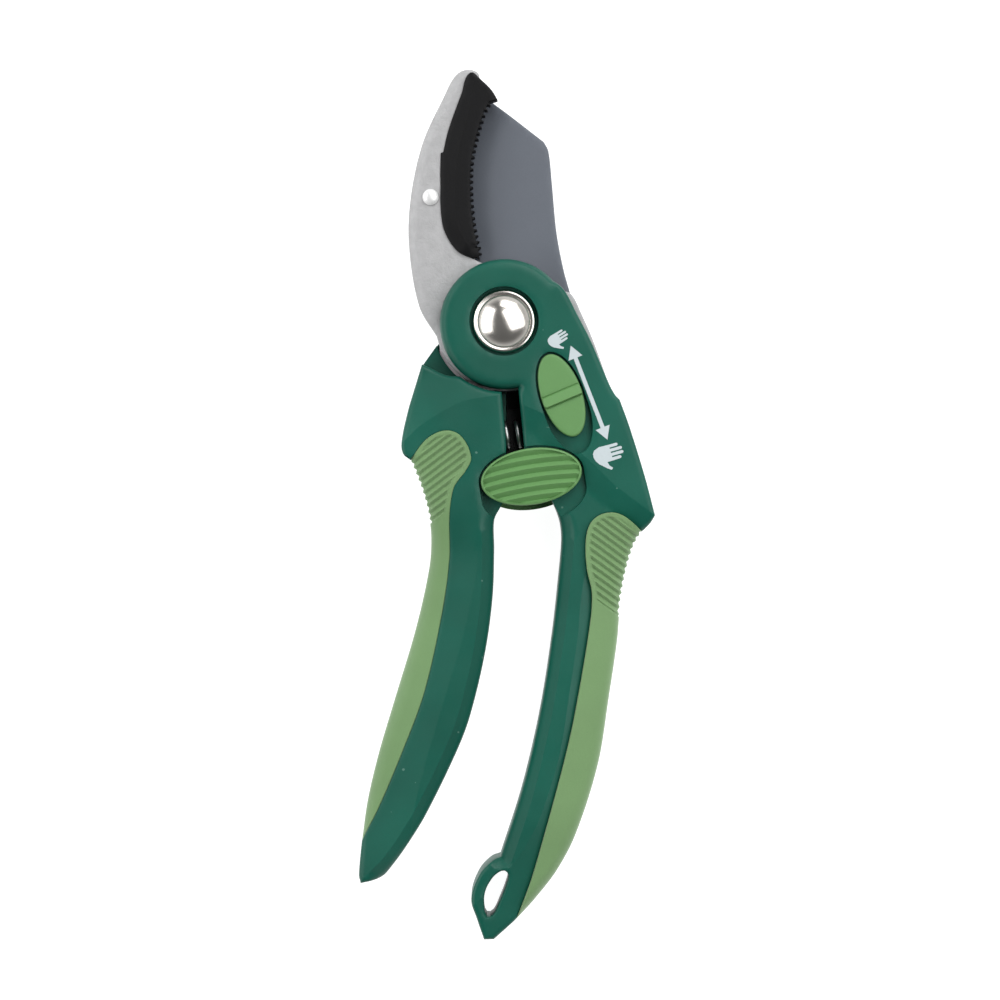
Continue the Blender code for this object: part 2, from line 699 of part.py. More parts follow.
def make_blade():
    """The coated blade, its heel and its tang in the left handle."""
    holes = [circle(PLATE_HOLE), circle(SCREW_RADIUS + GAP, *LEFT_SCREWS[0], SCREW_STEPS)]
    blade = plate("cutting_blade", [blade_outline()] + holes, BLADE_BACK, BLADE_FRONT)
    return finish(blade, COATED_STEEL, left)


# ---------------------------------------------------------------- pivot

def make_pivot():
    """The domed bolt, its bush through both plates, and the washer and blind nut at the back."""
    seat = HANDLE_FRONT - CAP_SEAT_DEPTH + GAP
    top = HANDLE_FRONT + CAP_RISE
    dome = []
    for step in range(5):
        angle = math.radians(90 * step / 5)
        dome.append((CAP_RADIUS * 0.86 * math.sin(angle), top - (1 - math.cos(angle)) * (top - seat) * 0.75))
    rim = [(CAP_RADIUS * 0.86, seat + 1.4), (CAP_RADIUS, seat + 1.2), (CAP_RADIUS, seat)]
    shank = [(SHANK_RADIUS, seat), (SHANK_RADIUS, NUT_FLOOR + GAP), (0, NUT_FLOOR + GAP)]
    finish(turned("pivot_bolt", dome + rim + shank), CHROME, right)

    inner = SHANK_HOLE
    outer = inner + BUSH_WALL
    bush = [(outer, JAW_FRONT), (outer, BLADE_BACK), (inner, BLADE_BACK), (inner, JAW_FRONT)]
    finish(turned("pivot_bush", bush), SPRING_STEEL, right)

    low = NUT_HEIGHT + GAP
    high = low + WASHER_THICKNESS
    washer = [(NUT_RADIUS, high), (NUT_RADIUS, low), (inner, low), (inner, high)]
    finish(turned("pivot_washer", washer), SPRING_STEEL, right)

    nut = [
        (inner, NUT_FLOOR), (inner, NUT_HEIGHT), (NUT_RADIUS, NUT_HEIGHT), (NUT_RADIUS, 0.6),
        (NUT_RADIUS - 0.6, 0), (0, 0),
    ]
    finish(turned("pivot_nut", [(0, NUT_FLOOR)] + nut), BRIGHT_STEEL, right)


# ---------------------------------------------------------------- room that the mechanism needs

def lock_oval(drop=0.0, growth=0.0):
    """The lock button's outline, moved down its slide by drop."""
    centre = Vector((LOCK_X, LOCK_Y)) + LOCK_DIRECTION * drop
    return ellipse(*centre, LOCK_LONG + growth, LOCK_SHORT + growth, LOCK_TILT)


def lock_plate_outline():
    """The bar between the two lock buttons, tilted as they are."""
    middle = (LOCK_PLATE_LEFT + LOCK_PLATE_RIGHT) / 2
    rise = math.tan(math.radians(LOCK_TILT)) * (middle - LOCK_X)
    return rectangle(middle, LOCK_Y + rise, LOCK_PLATE_RIGHT - LOCK_PLATE_LEFT, LOCK_PLATE_WIDTH, LOCK_TILT)


def selector_oval(growth=0.0):
    """The selector button's outline."""
    return ellipse(SELECTOR_X, SELECTOR_Y, SELECTOR_LONG + growth, SELECTOR_SHORT + growth, 90 + SELECTOR_TILT)


LOCK_WAY = LOCK_DIRECTION * LOCK_TRAVEL
SELECTOR_WAY = SELECTOR_DIRECTION * SELECTOR_TRAVEL
REAR_LOCK_ROOM = LOCK_RECESS + GAP

lock_front_room = cutter_plate(
    "lock_front_room", swept(lock_oval(0, SLIDE_GAP), LOCK_WAY), HANDLE_FRONT - LOCK_RECESS, HANDLE_FRONT + BEYOND)
lock_rear_room = cutter_plate(
    "lock_rear_room", swept(lock_oval(LOCK_REAR_DROP, SLIDE_GAP), LOCK_WAY), -BEYOND, REAR_LOCK_ROOM)
lock_plate_room = cutter_plate(
    "lock_plate_room", swept(grown(lock_plate_outline(), SLIDE_GAP), LOCK_WAY),
    LOCK_PLATE_BACK - BEYOND, LOCK_PLATE_FRONT + GAP)
selector_room = cutter_plate(
    "selector_room", swept(selector_oval(SLIDE_GAP), SELECTOR_WAY),
    HANDLE_FRONT - SELECTOR_RECESS, HANDLE_FRONT + BEYOND)
stem_room = cutter_plate(
    "stem_room", swept(grown(rectangle(
        SELECTOR_X, SELECTOR_Y, STEM_LENGTH, STEM_WIDTH, 90 + SELECTOR_TILT), SLIDE_GAP), SELECTOR_WAY),
    JAW_BACK - BEYOND, HANDLE_FRONT - SELECTOR_RECESS + GAP)
stop_room = cutter_plate(
    "stop_room", swept(grown(rectangle(
        SELECTOR_X, SELECTOR_Y, STOP_LENGTH, STOP_WIDTH, 90 + SELECTOR_TILT), SLIDE_GAP), SELECTOR_WAY),
    BLADE_BACK - 2.2, BLADE_FRONT + BEYOND)
BORE_RADIUS = SPRING_RADIUS + SPRING_WIRE + GAP
left_spring_room = cutter_rod(
    "left_spring_room", BORE_RADIUS, SPRING_LEFT - PEG_FLANGE - GAP, 2.0, y=SPRING_Y, sideways=True)
right_spring_room = cutter_rod(
    "right_spring_room", BORE_RADIUS, 0.7, SPRING_RIGHT + PEG_FLANGE + GAP, y=SPRING_Y, sideways=True)
cap_room = stepped_rod(
    "cap_room", CAP_RADIUS + HEAD_CLEARANCE, HANDLE_FRONT + BEYOND, SHANK_HOLE, JAW_BACK - BEYOND,
    HANDLE_FRONT - CAP_SEAT_DEPTH)
nut_room = stepped_rod(
    "nut_room", NUT_RADIUS + HEAD_CLEARANCE, -BEYOND, SHANK_HOLE, BLADE_FRONT + BEYOND,
    NUT_HEIGHT + GAP + WASHER_THICKNESS + GAP)


def leaf_outline(start, end, bulge):
    """A thin strip between two points, bowed sideways by bulge."""
    a = Vector(start)
    b = Vector(end)
    across = Vector((b.y - a.y, a.x - b.x)).normalized()
    left_side = []
    right_side = []
    for step in range(7):
        share = step / 6
        middle = a.lerp(b, share) + across * bulge * math.sin(math.pi * share)
        left_side.append(tuple(middle + across * LEAF_THICKNESS / 2))
        right_side.append(tuple(middle - across * LEAF_THICKNESS / 2))
    return left_side + right_side[::-1]


def lock_leaf():
    """The lock's detent leaf, beside the right end of the lock plate."""
    x = LOCK_PLATE_RIGHT + 1.8
    top = LOCK_Y + LOCK_PLATE_WIDTH / 2
    return leaf_outline((x, top), (x, top - LOCK_PLATE_WIDTH - LOCK_TRAVEL), LEAF_BULGE)


def selector_leaf():
    """The selector's detent leaf, beside its stop block."""
    across = Vector((-SELECTOR_DIRECTION.y, SELECTOR_DIRECTION.x))
    half = SELECTOR_DIRECTION * (STOP_LENGTH + SELECTOR_TRAVEL) / 2 * 0.8
    clear = STOP_WIDTH / 2 + SLIDE_GAP + LEAF_THICKNESS + LEAF_BULGE
    middle = Vector((SELECTOR_X, SELECTOR_Y)) + SELECTOR_WAY / 2 + across * clear
    return leaf_outline(middle - half, middle + half, LEAF_BULGE)


def leaf_room(name, leaf, back, front):
    """The pocket around a leaf, open to the pocket of the plate beside it."""
    return cutter_plate(name, grown([leaf[i] for i in convex_hull_2d([Vector(p) for p in leaf])], SLIDE_GAP),
                        back, front)


lock_leaf_room = leaf_room("lock_leaf_room", lock_leaf(), LOCK_PLATE_BACK - BEYOND, LOCK_PLATE_FRONT + GAP)
selector_leaf_room = leaf_room("selector_leaf_room", selector_leaf(), BLADE_BACK, BLADE_FRONT + BEYOND)


def screw_rooms(name, places):
    """For each screw: its seat in the rear cover, its hole, and the blind pilot in the front cover."""
    rear = []
    front = []
    for number, (x, drawn_y) in enumerate(places, 1):
        y = stretch(drawn_y)
        rear.append(stepped_rod(f"{name}_seat_{number}", SCREW_HEAD_RADIUS + GAP, -BEYOND, SCREW_RADIUS + GAP,
                                BLADE_FRONT + BEYOND, SCREW_SEAT_DEPTH, x, y))
        tip = HANDLE_FRONT - SCREW_TIP + GAP
        front.append(cutter_rod(f"{name}_pilot_{number}", SCREW_RADIUS + GAP, JAW_BACK - BEYOND, tip, x, y))
    return rear, front


def make_screws(name, places, body):
    """The screws that close one handle, put in from the back."""
    for number, (x, drawn_y) in enumerate(places, 1):
        seat = SCREW_SEAT_DEPTH - GAP
        tip = HANDLE_FRONT - SCREW_TIP
        profile = [
            (0, tip), (SCREW_RADIUS * 0.5, tip), (SCREW_RADIUS, tip - 1.5), (SCREW_RADIUS, seat),
            (SCREW_HEAD_RADIUS, seat), (SCREW_HEAD_RADIUS, seat - SCREW_HEAD_HEIGHT + 0.4),
            (SCREW_HEAD_RADIUS * 0.8, seat - SCREW_HEAD_HEIGHT), (0, seat - SCREW_HEAD_HEIGHT),
        ]
        finish(turned(f"{name}_screw_{number}", profile, x, stretch(drawn_y), steps=SCREW_STEPS), SPRING_STEEL, body)


# ---------------------------------------------------------------- handles

def make_grip(name, grip, core, body):
    """A soft grip: a skin that wraps the handle's outer edge, open towards the core."""
    made = plate(name, [grip], GRIP_INSET, HANDLE_FRONT - GRIP_INSET, round_front=GRIP_ROUND, round_back=GRIP_ROUND)
    low = GRIP_INSET + GRIP_SKIN
    high = HANDLE_FRONT - GRIP_INSET - GRIP_SKIN
    cut(made, cutter_plate(name + "_inside", grown(core, GAP), low, high))
    return finish(made, LIGHT_GREEN, body)


def wrap_core(cover, name, grip, core, back, front):
    """Takes the grip's room out of a cover and puts the hard core back under it."""
    cut(cover, cutter_plate(name + "_grip_room", grown(grip, GAP), -BEYOND, HANDLE_FRONT + BEYOND))
    low = max(back + GAP, GRIP_INSET + GRIP_SKIN + GAP)
    high = min(front - GAP, HANDLE_FRONT - GRIP_INSET - GRIP_SKIN - GAP)
    join(cover, cutter_plate(name + "_core", core, low, high))


def make_left_handle():
    """The left handle: two covers around the blade's tang, and the grip."""
    grip = left_grip_outline()
    core = left_core_outline()
    rear_screws, front_screws = screw_rooms("left", LEFT_SCREWS)

    front = plate("left_front_cover", [left_front_outline()], JAW_BACK, HANDLE_FRONT, round_front=EDGE_ROUND)
    wrap_core(front, "left_front", grip, core, JAW_BACK, HANDLE_FRONT)
    cut(front, lock_front_room, lock_plate_room, left_spring_room, *front_screws)
    finish(front, DARK_GREEN, left)

    rear = plate("left_rear_cover", [left_rear_outline()], 0, BLADE_FRONT, round_back=EDGE_ROUND)
    wrap_core(rear, "left_rear", grip, core, 0, BLADE_FRONT)
    blade_room = cutter_plate("blade_room", grown(blade_outline(), GAP), REAR_HEAD_DEPTH, BLADE_FRONT + BEYOND)
    head_room = cutter_rod("head_room", HOOD_RADIUS, REAR_HEAD_DEPTH + STEP, BLADE_FRONT + BEYOND)
    cut(rear, blade_room, head_room, nut_room, lock_rear_room, left_spring_room, *rear_screws)
    finish(rear, DARK_GREEN, left)

    make_grip("left_grip", grip, core, left)
    make_screws("left", LEFT_SCREWS, left)


def make_right_handle():
    """The right handle: two covers around the jaw's tang, and the grip."""
    grip = right_grip_outline()
    core = right_core_outline()
    rear_screws, front_screws = screw_rooms("right", RIGHT_SCREWS)
    hang_hole = cutter_plate("hang_hole", sampled(HANG_HOLE), -BEYOND, HANDLE_FRONT + BEYOND)

    front = plate("right_front_cover", [right_front_outline()], JAW_BACK, HANDLE_FRONT, round_front=EDGE_ROUND)
    wrap_core(front, "right_front", grip, core, JAW_BACK, HANDLE_FRONT)
    jaw_room = cutter_plate("jaw_pocket", grown(jaw_outline(), GAP), JAW_BACK - BEYOND, HEAD_BACK)
    head_room = cutter_rod("front_head_room", HOOD_RADIUS, JAW_BACK - BEYOND, HEAD_BACK - STEP)
    combine(front, selector_room, "DIFFERENCE", solver="MANIFOLD")  # keeps the rest of the cover whole
    cut(front, stem_room, jaw_room, head_room, cap_room, lock_front_room, lock_plate_room)
    cut(front, lock_leaf_room, right_spring_room, hang_hole, *front_screws)
    finish(front, DARK_GREEN, right)

    rear = plate("right_rear_cover", [right_rear_outline()], 0, BLADE_FRONT, round_back=EDGE_ROUND)
    wrap_core(rear, "right_rear", grip, core, 0, BLADE_FRONT)
    heel_room = cutter_rod("heel_room", HEEL_RADIUS + HEAD_CLEARANCE, REAR_HEAD_DEPTH, BLADE_FRONT + BEYOND)
    cut(rear, heel_room, lock_rear_room, stop_room, selector_leaf_room, right_spring_room, hang_hole)
    cut(rear, *rear_screws)
    finish(rear, DARK_GREEN, right)

    make_grip("right_grip", grip, core, right)
    make_screws("right", RIGHT_SCREWS, right)


# ---------------------------------------------------------------- lock

def make_lock():
    """Two oval buttons joined through a plate by a boss and a screw."""
    boss = circle(LOCK_BOSS_RADIUS, LOCK_BOSS_X, LOCK_Y)
    hole = cutter_rod("lock_screw_room", SMALL_SCREW_RADIUS + GAP, -BEYOND, HANDLE_FRONT - 2.6,
                      LOCK_BOSS_X, LOCK_Y)
    front = plate("lock_button_front", [lock_oval()], HANDLE_FRONT - LOCK_RECESS + GAP,
                  HANDLE_FRONT + LOCK_RISE, round_front=0.9)
    join(front, cutter_plate("front_boss", boss, LOCK_PLATE_FRONT + GAP, HANDLE_FRONT - LOCK_RECESS + 1.0))
    cut(front, hole)
    finish(front, GREEN_BUTTON, lock)

    rear = plate("lock_button_rear", [lock_oval(LOCK_REAR_DROP)], 0, LOCK_RECESS, round_back=0.6)
    join(rear, cutter_plate("rear_boss", boss, LOCK_RECESS - 1.0, LOCK_PLATE_BACK - GAP))
    cut(rear, hole)
    seat = cutter_rod("lock_screw_seat", SMALL_SCREW_HEAD + GAP, -BEYOND, 1.6, LOCK_BOSS_X, LOCK_Y)
    cut(rear, seat)
    finish(rear, GREEN_BUTTON, lock)

    holes = [circle(SMALL_SCREW_RADIUS + GAP, LOCK_BOSS_X, LOCK_Y, SCREW_STEPS)]
    bar = plate("lock_plate", [lock_plate_outline()] + holes, LOCK_PLATE_BACK, LOCK_PLATE_FRONT)
    finish(bar, SPRING_STEEL, lock)

    profile = [
        (0, HANDLE_FRONT - 3.2), (SMALL_SCREW_RADIUS, HANDLE_FRONT - 3.2), (SMALL_SCREW_RADIUS, 1.3),
        (SMALL_SCREW_HEAD, 1.3), (SMALL_SCREW_HEAD, 0.4), (0, 0.4),
    ]
    finish(turned("lock_screw", profile, LOCK_BOSS_X, LOCK_Y, steps=SCREW_STEPS), SPRING_STEEL, lock)


def make_lock_spring():
    """The leaf that clicks the lock plate into place, inside the right front cover."""
    made = plate("lock_detent_spring", [lock_leaf()], LOCK_PLATE_BACK + GAP, LOCK_PLATE_FRONT - GAP)
    finish(made, SPRING_STEEL, right)


# ---------------------------------------------------------------- selector

def make_selector():
    """The oval slider, its stem, and the stop block behind the jaw's tang."""
    button = plate("selector_button", [selector_oval()], HANDLE_FRONT - SELECTOR_RECESS + GAP,
                   HANDLE_FRONT + SELECTOR_RISE, round_front=0.6)
    stem = rectangle(SELECTOR_X, SELECTOR_Y, STEM_LENGTH, STEM_WIDTH, 90 + SELECTOR_TILT)
    join(button, cutter_plate("selector_stem", stem, JAW_BACK + 0.1, HANDLE_FRONT - SELECTOR_RECESS + 1.0))
    screw_room = cutter_rod("selector_screw_room", SMALL_SCREW_RADIUS + GAP, JAW_BACK - BEYOND, JAW_BACK + 4.6,
                            SELECTOR_X, SELECTOR_Y)
    cut(button, screw_room)
    finish(button, GREEN_BUTTON, selector)

    block = rectangle(SELECTOR_X, SELECTOR_Y, STOP_LENGTH, STOP_WIDTH, 90 + SELECTOR_TILT)
    hole = circle(SMALL_SCREW_RADIUS + GAP, SELECTOR_X, SELECTOR_Y, SCREW_STEPS)
    stop = plate("selector_stop", [block, hole], BLADE_BACK, BLADE_FRONT)
    finish(stop, SPRING_STEEL, selector)

    low = BLADE_BACK - GAP - 1.2
    profile = [
        (0, JAW_BACK + 4.0), (SMALL_SCREW_RADIUS, JAW_BACK + 4.0), (SMALL_SCREW_RADIUS, BLADE_BACK - GAP),
        (SMALL_SCREW_HEAD * 0.85, BLADE_BACK - GAP), (SMALL_SCREW_HEAD * 0.85, low), (0, low),
    ]
    finish(turned("selector_screw", profile, SELECTOR_X, SELECTOR_Y, steps=SCREW_STEPS), SPRING_STEEL, selector)


def make_selector_spring():
    """The leaf that clicks the stop block into its two places."""
    made = plate("selector_detent_spring", [selector_leaf()], BLADE_BACK + GAP, BLADE_FRONT - GAP)
    finish(made, SPRING_STEEL, right)


# ---------------------------------------------------------------- return spring

def make_spring():
    """The coil that opens the handles, between a peg in each."""
    curve = bpy.data.curves.new("return_spring", "CURVE")
    curve.dimensions = "3D"
    curve.bevel_depth = SPRING_WIRE * MM
    curve.bevel_resolution = 2
    curve.use_fill_caps = True
    spline = curve.splines.new("POLY")
    per_turn = 10
    count = SPRING_TURNS * per_turn
    spline.points.add(count)
    first = SPRING_LEFT + SPRING_WIRE + GAP
    last = SPRING_RIGHT - SPRING_WIRE - GAP
    for index, point in enumerate(spline.points):
        angle = 2 * math.pi * index / per_turn
        x = first + (last - first) * index / count
        y = SPRING_Y + SPRING_RADIUS * math.cos(angle)
        z = SPRING_Z + SPRING_RADIUS * math.sin(angle)
        point.co = (x * MM, y * MM, z * MM, 1)
    coil = bpy.data.objects.new("return_spring", curve)
    parts.objects.link(coil)
    curve.materials.append(SPRING_STEEL)
    coil.parent = right

    peg = SPRING_RADIUS - SPRING_WIRE - GAP
    flange = SPRING_RADIUS + SPRING_WIRE
    left_peg = [(0, SPRING_LEFT + PEG_LENGTH), (peg, SPRING_LEFT + PEG_LENGTH - 0.6), (peg, SPRING_LEFT),
                (flange, SPRING_LEFT), (flange, SPRING_LEFT - PEG_FLANGE), (0, SPRING_LEFT - PEG_FLANGE)]
    right_peg = [(0, SPRING_RIGHT + PEG_FLANGE), (flange, SPRING_RIGHT + PEG_FLANGE), (flange, SPRING_RIGHT),
                 (peg, SPRING_RIGHT), (peg, SPRING_RIGHT - PEG_LENGTH + 0.6), (0, SPRING_RIGHT - PEG_LENGTH)]
    for name, profile, body in (("spring_peg_left", left_peg, left), ("spring_peg_right", right_peg, right)):
        made = turned(name, profile, 0, SPRING_Y, SPRING_Z, sideways=True, steps=SCREW_STEPS)
        finish(made, BLACK_PAD, body)


make_jaw()
make_pad()
make_rivet()
make_blade()
make_pivot()
make_left_handle()
make_right_handle()
make_lock()
make_lock_spring()
make_selector()
make_selector_spring()
make_spring()
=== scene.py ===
"""Pruning shears: the visible model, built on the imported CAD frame.

Shapes are drawn in millimetres in the CAD's own frame and turned into metres by MM. Covers, grips, jaws and
buttons are reliefs: an outline with a shaped front and a shaped back.
"""

import math

import bmesh
import bpy
import numpy as np
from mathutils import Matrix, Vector
from mathutils.geometry import delaunay_2d_cdt


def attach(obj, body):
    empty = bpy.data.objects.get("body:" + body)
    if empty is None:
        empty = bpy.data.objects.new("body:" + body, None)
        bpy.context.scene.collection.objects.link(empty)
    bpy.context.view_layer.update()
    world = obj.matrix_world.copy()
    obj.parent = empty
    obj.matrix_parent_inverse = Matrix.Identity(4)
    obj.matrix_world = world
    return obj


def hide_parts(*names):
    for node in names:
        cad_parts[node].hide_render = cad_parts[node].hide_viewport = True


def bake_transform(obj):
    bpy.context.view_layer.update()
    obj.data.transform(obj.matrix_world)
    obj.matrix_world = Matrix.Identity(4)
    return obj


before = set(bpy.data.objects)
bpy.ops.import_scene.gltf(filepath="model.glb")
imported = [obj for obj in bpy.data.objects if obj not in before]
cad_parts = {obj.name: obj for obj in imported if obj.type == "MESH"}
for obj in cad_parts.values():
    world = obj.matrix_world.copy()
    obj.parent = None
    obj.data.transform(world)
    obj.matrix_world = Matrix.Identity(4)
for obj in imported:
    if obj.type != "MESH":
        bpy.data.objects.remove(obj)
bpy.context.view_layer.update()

MM = 0.001
RIGHT, LEFT, LOCK, SELECTOR = "right_handle", "left_handle", "lock", "selector"

# Heights above the back, as in the CAD.
REAR_HEAD = 7.2  # the rear covers' front under the head
BLADE_BACK, BLADE_FRONT = 7.5, 10.5
SPLIT = 10.73  # the rear covers' front along the handles
JAW_BACK, JAW_FRONT = 10.8, 14.4  # the front covers start at JAW_BACK too
HEAD_BACK, FRONT = 14.7, 20.0  # the cover over the jaw, and the front of both handles
PAD_FRONT = 15.8
NUT_TOP = 4.6
LOCK_FRONT, LOCK_MIDDLE, LOCK_REAR_TOP = 21.2, 17.7, 2.6
SELECTOR_FRONT, SELECTOR_BACK = 20.15, 18.1
PRINT_FRONT, PRINT_BACK = 20.07, 19.9

# Radii about the pivot: room for the hubs of the jaws, room for the blade's heel, and the jaws' bore.
HOOD_RADIUS, HEEL_RADIUS, BORE = 16.8, 20.6, 5.3

ARC_STEP = 5  # degrees
TOUCH = 0.02  # a point closer to a line than this is on it


# ---------------- outlines

def corner(x, y):
    return (x, y, True)


def arc(radius, start, end, x=0.0, y=0.0):
    count = max(2, math.ceil(abs(end - start) / ARC_STEP))
    turns = [math.radians(start + (end - start) * i / count) for i in range(count + 1)]
    return [corner(x + radius * math.cos(a), y + radius * math.sin(a)) for a in turns]


def circle(radius, x=0.0, y=0.0, count=72):
    turns = [2 * math.pi * i / count for i in range(count)]
    return [(x + radius * math.cos(a), y + radius * math.sin(a)) for a in turns]


def sampled(points, closed=True, length=1.0):
    """A fine polygon through outline points, with the same curves as the CAD."""
    count = len(points)
    last = count if closed else count - 1
    result = []
    for index in range(last):
        start, end = points[index], points[(index + 1) % count]
        a, b = Vector(start[:2]), Vector(end[:2])
        chord = b - a
        if len(start) > 2 or (not closed and index == 0):
            leave = chord.normalized()
        else:
            leave = (b - Vector(points[index - 1][:2])).normalized()
        if len(end) > 2 or (not closed and index == last - 1):
            arrive = chord.normalized()
        else:
            arrive = (Vector(points[(index + 2) % count][:2]) - a).normalized()
        pieces = max(1, math.ceil(chord.length / length))
        for piece in range(pieces):
            t = piece / pieces
            p = a * (2 * t ** 3 - 3 * t ** 2 + 1) + b * (3 * t ** 2 - 2 * t ** 3)
            p += leave * chord.length * (t ** 3 - 2 * t ** 2 + t) + arrive * chord.length * (t ** 3 - t ** 2)
            result.append(tuple(p))
    if not closed:
        result.append(tuple(points[-1][:2]))
    return result


def traced(points):
    return sampled(points, closed=False)


def grown(polygon, distance):
    """The polygon with each side moved outwards by the distance. Corners reach out a little further."""
    area = sum(a[0] * b[1] - b[0] * a[1] for a, b in zip(polygon, polygon[1:] + polygon[:1]))
    side = 1.0 if area > 0 else -1.0
    result = []
    for index, point in enumerate(polygon):
        before = (Vector(point) - Vector(polygon[index - 1])).normalized()
        after = (Vector(polygon[(index + 1) % len(polygon)]) - Vector(point)).normalized()
        middle = (Vector((before.y, -before.x)) + Vector((after.y, -after.x))).normalized() * side
        reach = min(1.6, 1.0 / max(0.2, middle.dot(Vector((after.y, -after.x)) * side)))
        result.append(tuple(Vector(point) + middle * distance * reach))
    return result


def rotated(u, v, turn, x, y):
    """The point (u, v) turned about the origin, then moved by (x, y)."""
    return (x + u * math.cos(turn) - v * math.sin(turn), y + u * math.sin(turn) + v * math.cos(turn))


def ellipse(x, y, long, short, tilt, count=96):
    turn = math.radians(tilt)
    result = []
    for index in range(count):
        angle = 2 * math.pi * index / count
        result.append(rotated(long * math.cos(angle), short * math.sin(angle), turn, x, y))
    return result


def slid(x, y, long, short, tilt, way):
    """The outline that an oval covers as it slides by the vector way."""
    turn = math.atan2(way[1], way[0])
    result = []
    for point in ellipse(x, y, long, short, tilt):
        ahead = (point[0] - x) * math.cos(turn) + (point[1] - y) * math.sin(turn) > 0
        result.append((point[0] + way[0], point[1] + way[1]) if ahead else point)
    return sampled([corner(*p) for p in result], length=1.2)


LEFT_OUTER_TOP = [(-20.9, -15.3), (-22.6, -21.2), (-24.0, -28.2), (-23.7, -31.0), (-22.0, -32.5)]
LEFT_OUTER = [
    (-19.3, -39.5), (-17.6, -46.0), (-17.1, -51.0), (-17.6, -58.0), (-20.7, -72.0), (-25.9, -89.4),
    (-29.4, -101.2), (-32.0, -112.2),
]
LEFT_OUTER_END = (-33.4, -121.9)
LEFT_END = [(-34.1, -130.0), corner(-33.7, -132.0), (-28.9, -130.6), (-26.4, -128.0)]
LEFT_INNER = [
    (-22.4, -122.4), (-18.1, -115.3), (-11.1, -100.9), (-8.0, -92.7), (-4.5, -78.1), (-2.7, -65.0),
    (-2.3, -53.6), (-2.3, -46.6), (-0.8, -43.5),
]
LEFT_SLOT = [corner(0.4, -41.0), corner(0.5, -28.9)]
LEFT_GRIP_TOP = [
    (-12.4, -42.0), (-11.5, -38.5), (-8.9, -35.0), (-7.7, -31.8), (-10.0, -27.0), (-13.6, -25.6),
    (-18.0, -27.5),
]
LEFT_GRIP_INNER = [
    (-29.4, -114.1), (-23.8, -100.9), (-18.7, -87.1), (-14.6, -68.9), (-12.8, -55.8), (-12.8, -46.6),
]
RIGHT_OUTER_TOP = [(17.2, 1.5), (20.6, -5.2), (24.9, -15.3), corner(26.1, -17.4)]
RIGHT_OUTER_WIDE = [corner(27.1, -18.4), (29.3, -24.4), (32.9, -36.0), corner(35.4, -45.5), (34.4, -47.2)]
RIGHT_OUTER_START = (32.4, -49.3)
RIGHT_OUTER = [
    (30.6, -52.5), (28.7, -58.8), (27.4, -66.0), (26.6, -75.0), (24.7, -88.0), (22.1, -104.0), (16.9, -120.4),
    (12.5, -128.9),
]
RIGHT_OUTER_END = [(7.3, -135.7), (2.9, -140.5)]
RIGHT_END = [
    corner(-2.4, -145.3), corner(-4.7, -145.3), (-6.3, -140.5), (-7.7, -135.5), (-5.8, -129.8),
    (-2.8, -126.6), corner(-0.8, -125.7),
]
RIGHT_INNER = [
    (4.2, -110.1), (8.4, -92.2), (11.3, -74.0), (12.9, -59.8), (13.6, -51.5), (13.3, -47.5), (12.4, -44.5),
    (10.6, -40.5), (8.8, -35.0), (6.6, -31.5),
]
RIGHT_SLOT = [corner(4.8, -30.0)]
RIGHT_REAR_SLOT = [corner(4.8, -31.4), corner(-0.3, -31.4)]
LIP_START, LIP_END, LIP_TOP = -0.3, 0.68, 1.3
RIGHT_GRIP_TOP = [
    (29.7, -46.8), (27.6, -45.4), (25.1, -44.8), (22.1, -45.6), (20.0, -47.8), (19.1, -52.0), (19.4, -58.0),
]
RIGHT_GRIP_INNER = [
    (20.6, -64.0), (20.0, -72.0), (16.5, -92.5), (14.0, -103.5), (9.9, -118.8), (6.3, -131.3),
]
HANG_HOLE = [(0.1, -128.9), (1.0, -129.9), (0.5, -132.4), (-0.9, -136.0), (-2.5, -139.3), (-4.0, -139.8),
             (-4.7, -137.4), (-4.4, -133.8), (-3.0, -131.0), (-1.4, -129.4)]
JAW_OUTER = [
    (-5.8, 58.2), (-8.5, 59.6), (-11.4, 58.2), (-14.1, 53.3), (-19.2, 42.1), (-22.0, 29.3), (-22.4, 18.1),
    (-20.0, 3.8),
]
JAW_TANG = [
    corner(5.2, -17.2), corner(6.0, -21.4), corner(10.9, -21.8), corner(11.2, -30.2), corner(15.8, -31.6),
    (15.9, -46.0), (15.2, -56.0),
    corner(13.8, -72.0), corner(17.2, -72.0), (18.4, -58.0), (18.6, -50.5), (21.0, -45.0), (26.5, -40.0),
    (27.0, -30.0), corner(25.6, -17.4), (21.4, -5.4), (18.4, 1.6), (15.4, 7.0),
]
JAW_INNER = [
    (-6.6, 14.6), (-10.5, 18.5), (-12.2, 24.0), (-12.5, 31.0), (-11.6, 39.0), (-9.4, 47.0), (-7.2, 54.0),
]
PAD_BACK = [
    (-8.0, 58.7), (-10.0, 53.8), (-13.1, 45.2), corner(-14.3, 40.0), corner(-14.9, 39.8), (-15.0, 34.0),
    (-14.4, 22.7), (-11.1, 16.8), corner(-6.4, 14.5),
]
PAD_TEETH = [
    (-5.2, 15.6), (-5.7, 18.6), (-6.6, 23.2), (-7.2, 30.0), (-6.9, 38.6), (-4.3, 48.7), (-2.8, 51.6),
]
PAD_TOP = [corner(-1.5, 52.2), (-2.8, 54.4), (-5.2, 56.8)]
BLADE_EDGE = [
    corner(-4.0, 53.2), (-7.5, 47.5), (-10.2, 40.0), (-11.2, 32.0), (-10.9, 24.5), (-9.9, 18.0),
]
BLADE_BACKBONE = [(12.4, 21.6), (11.3, 33.4), (10.5, 40.7), corner(9.4, 42.8)]
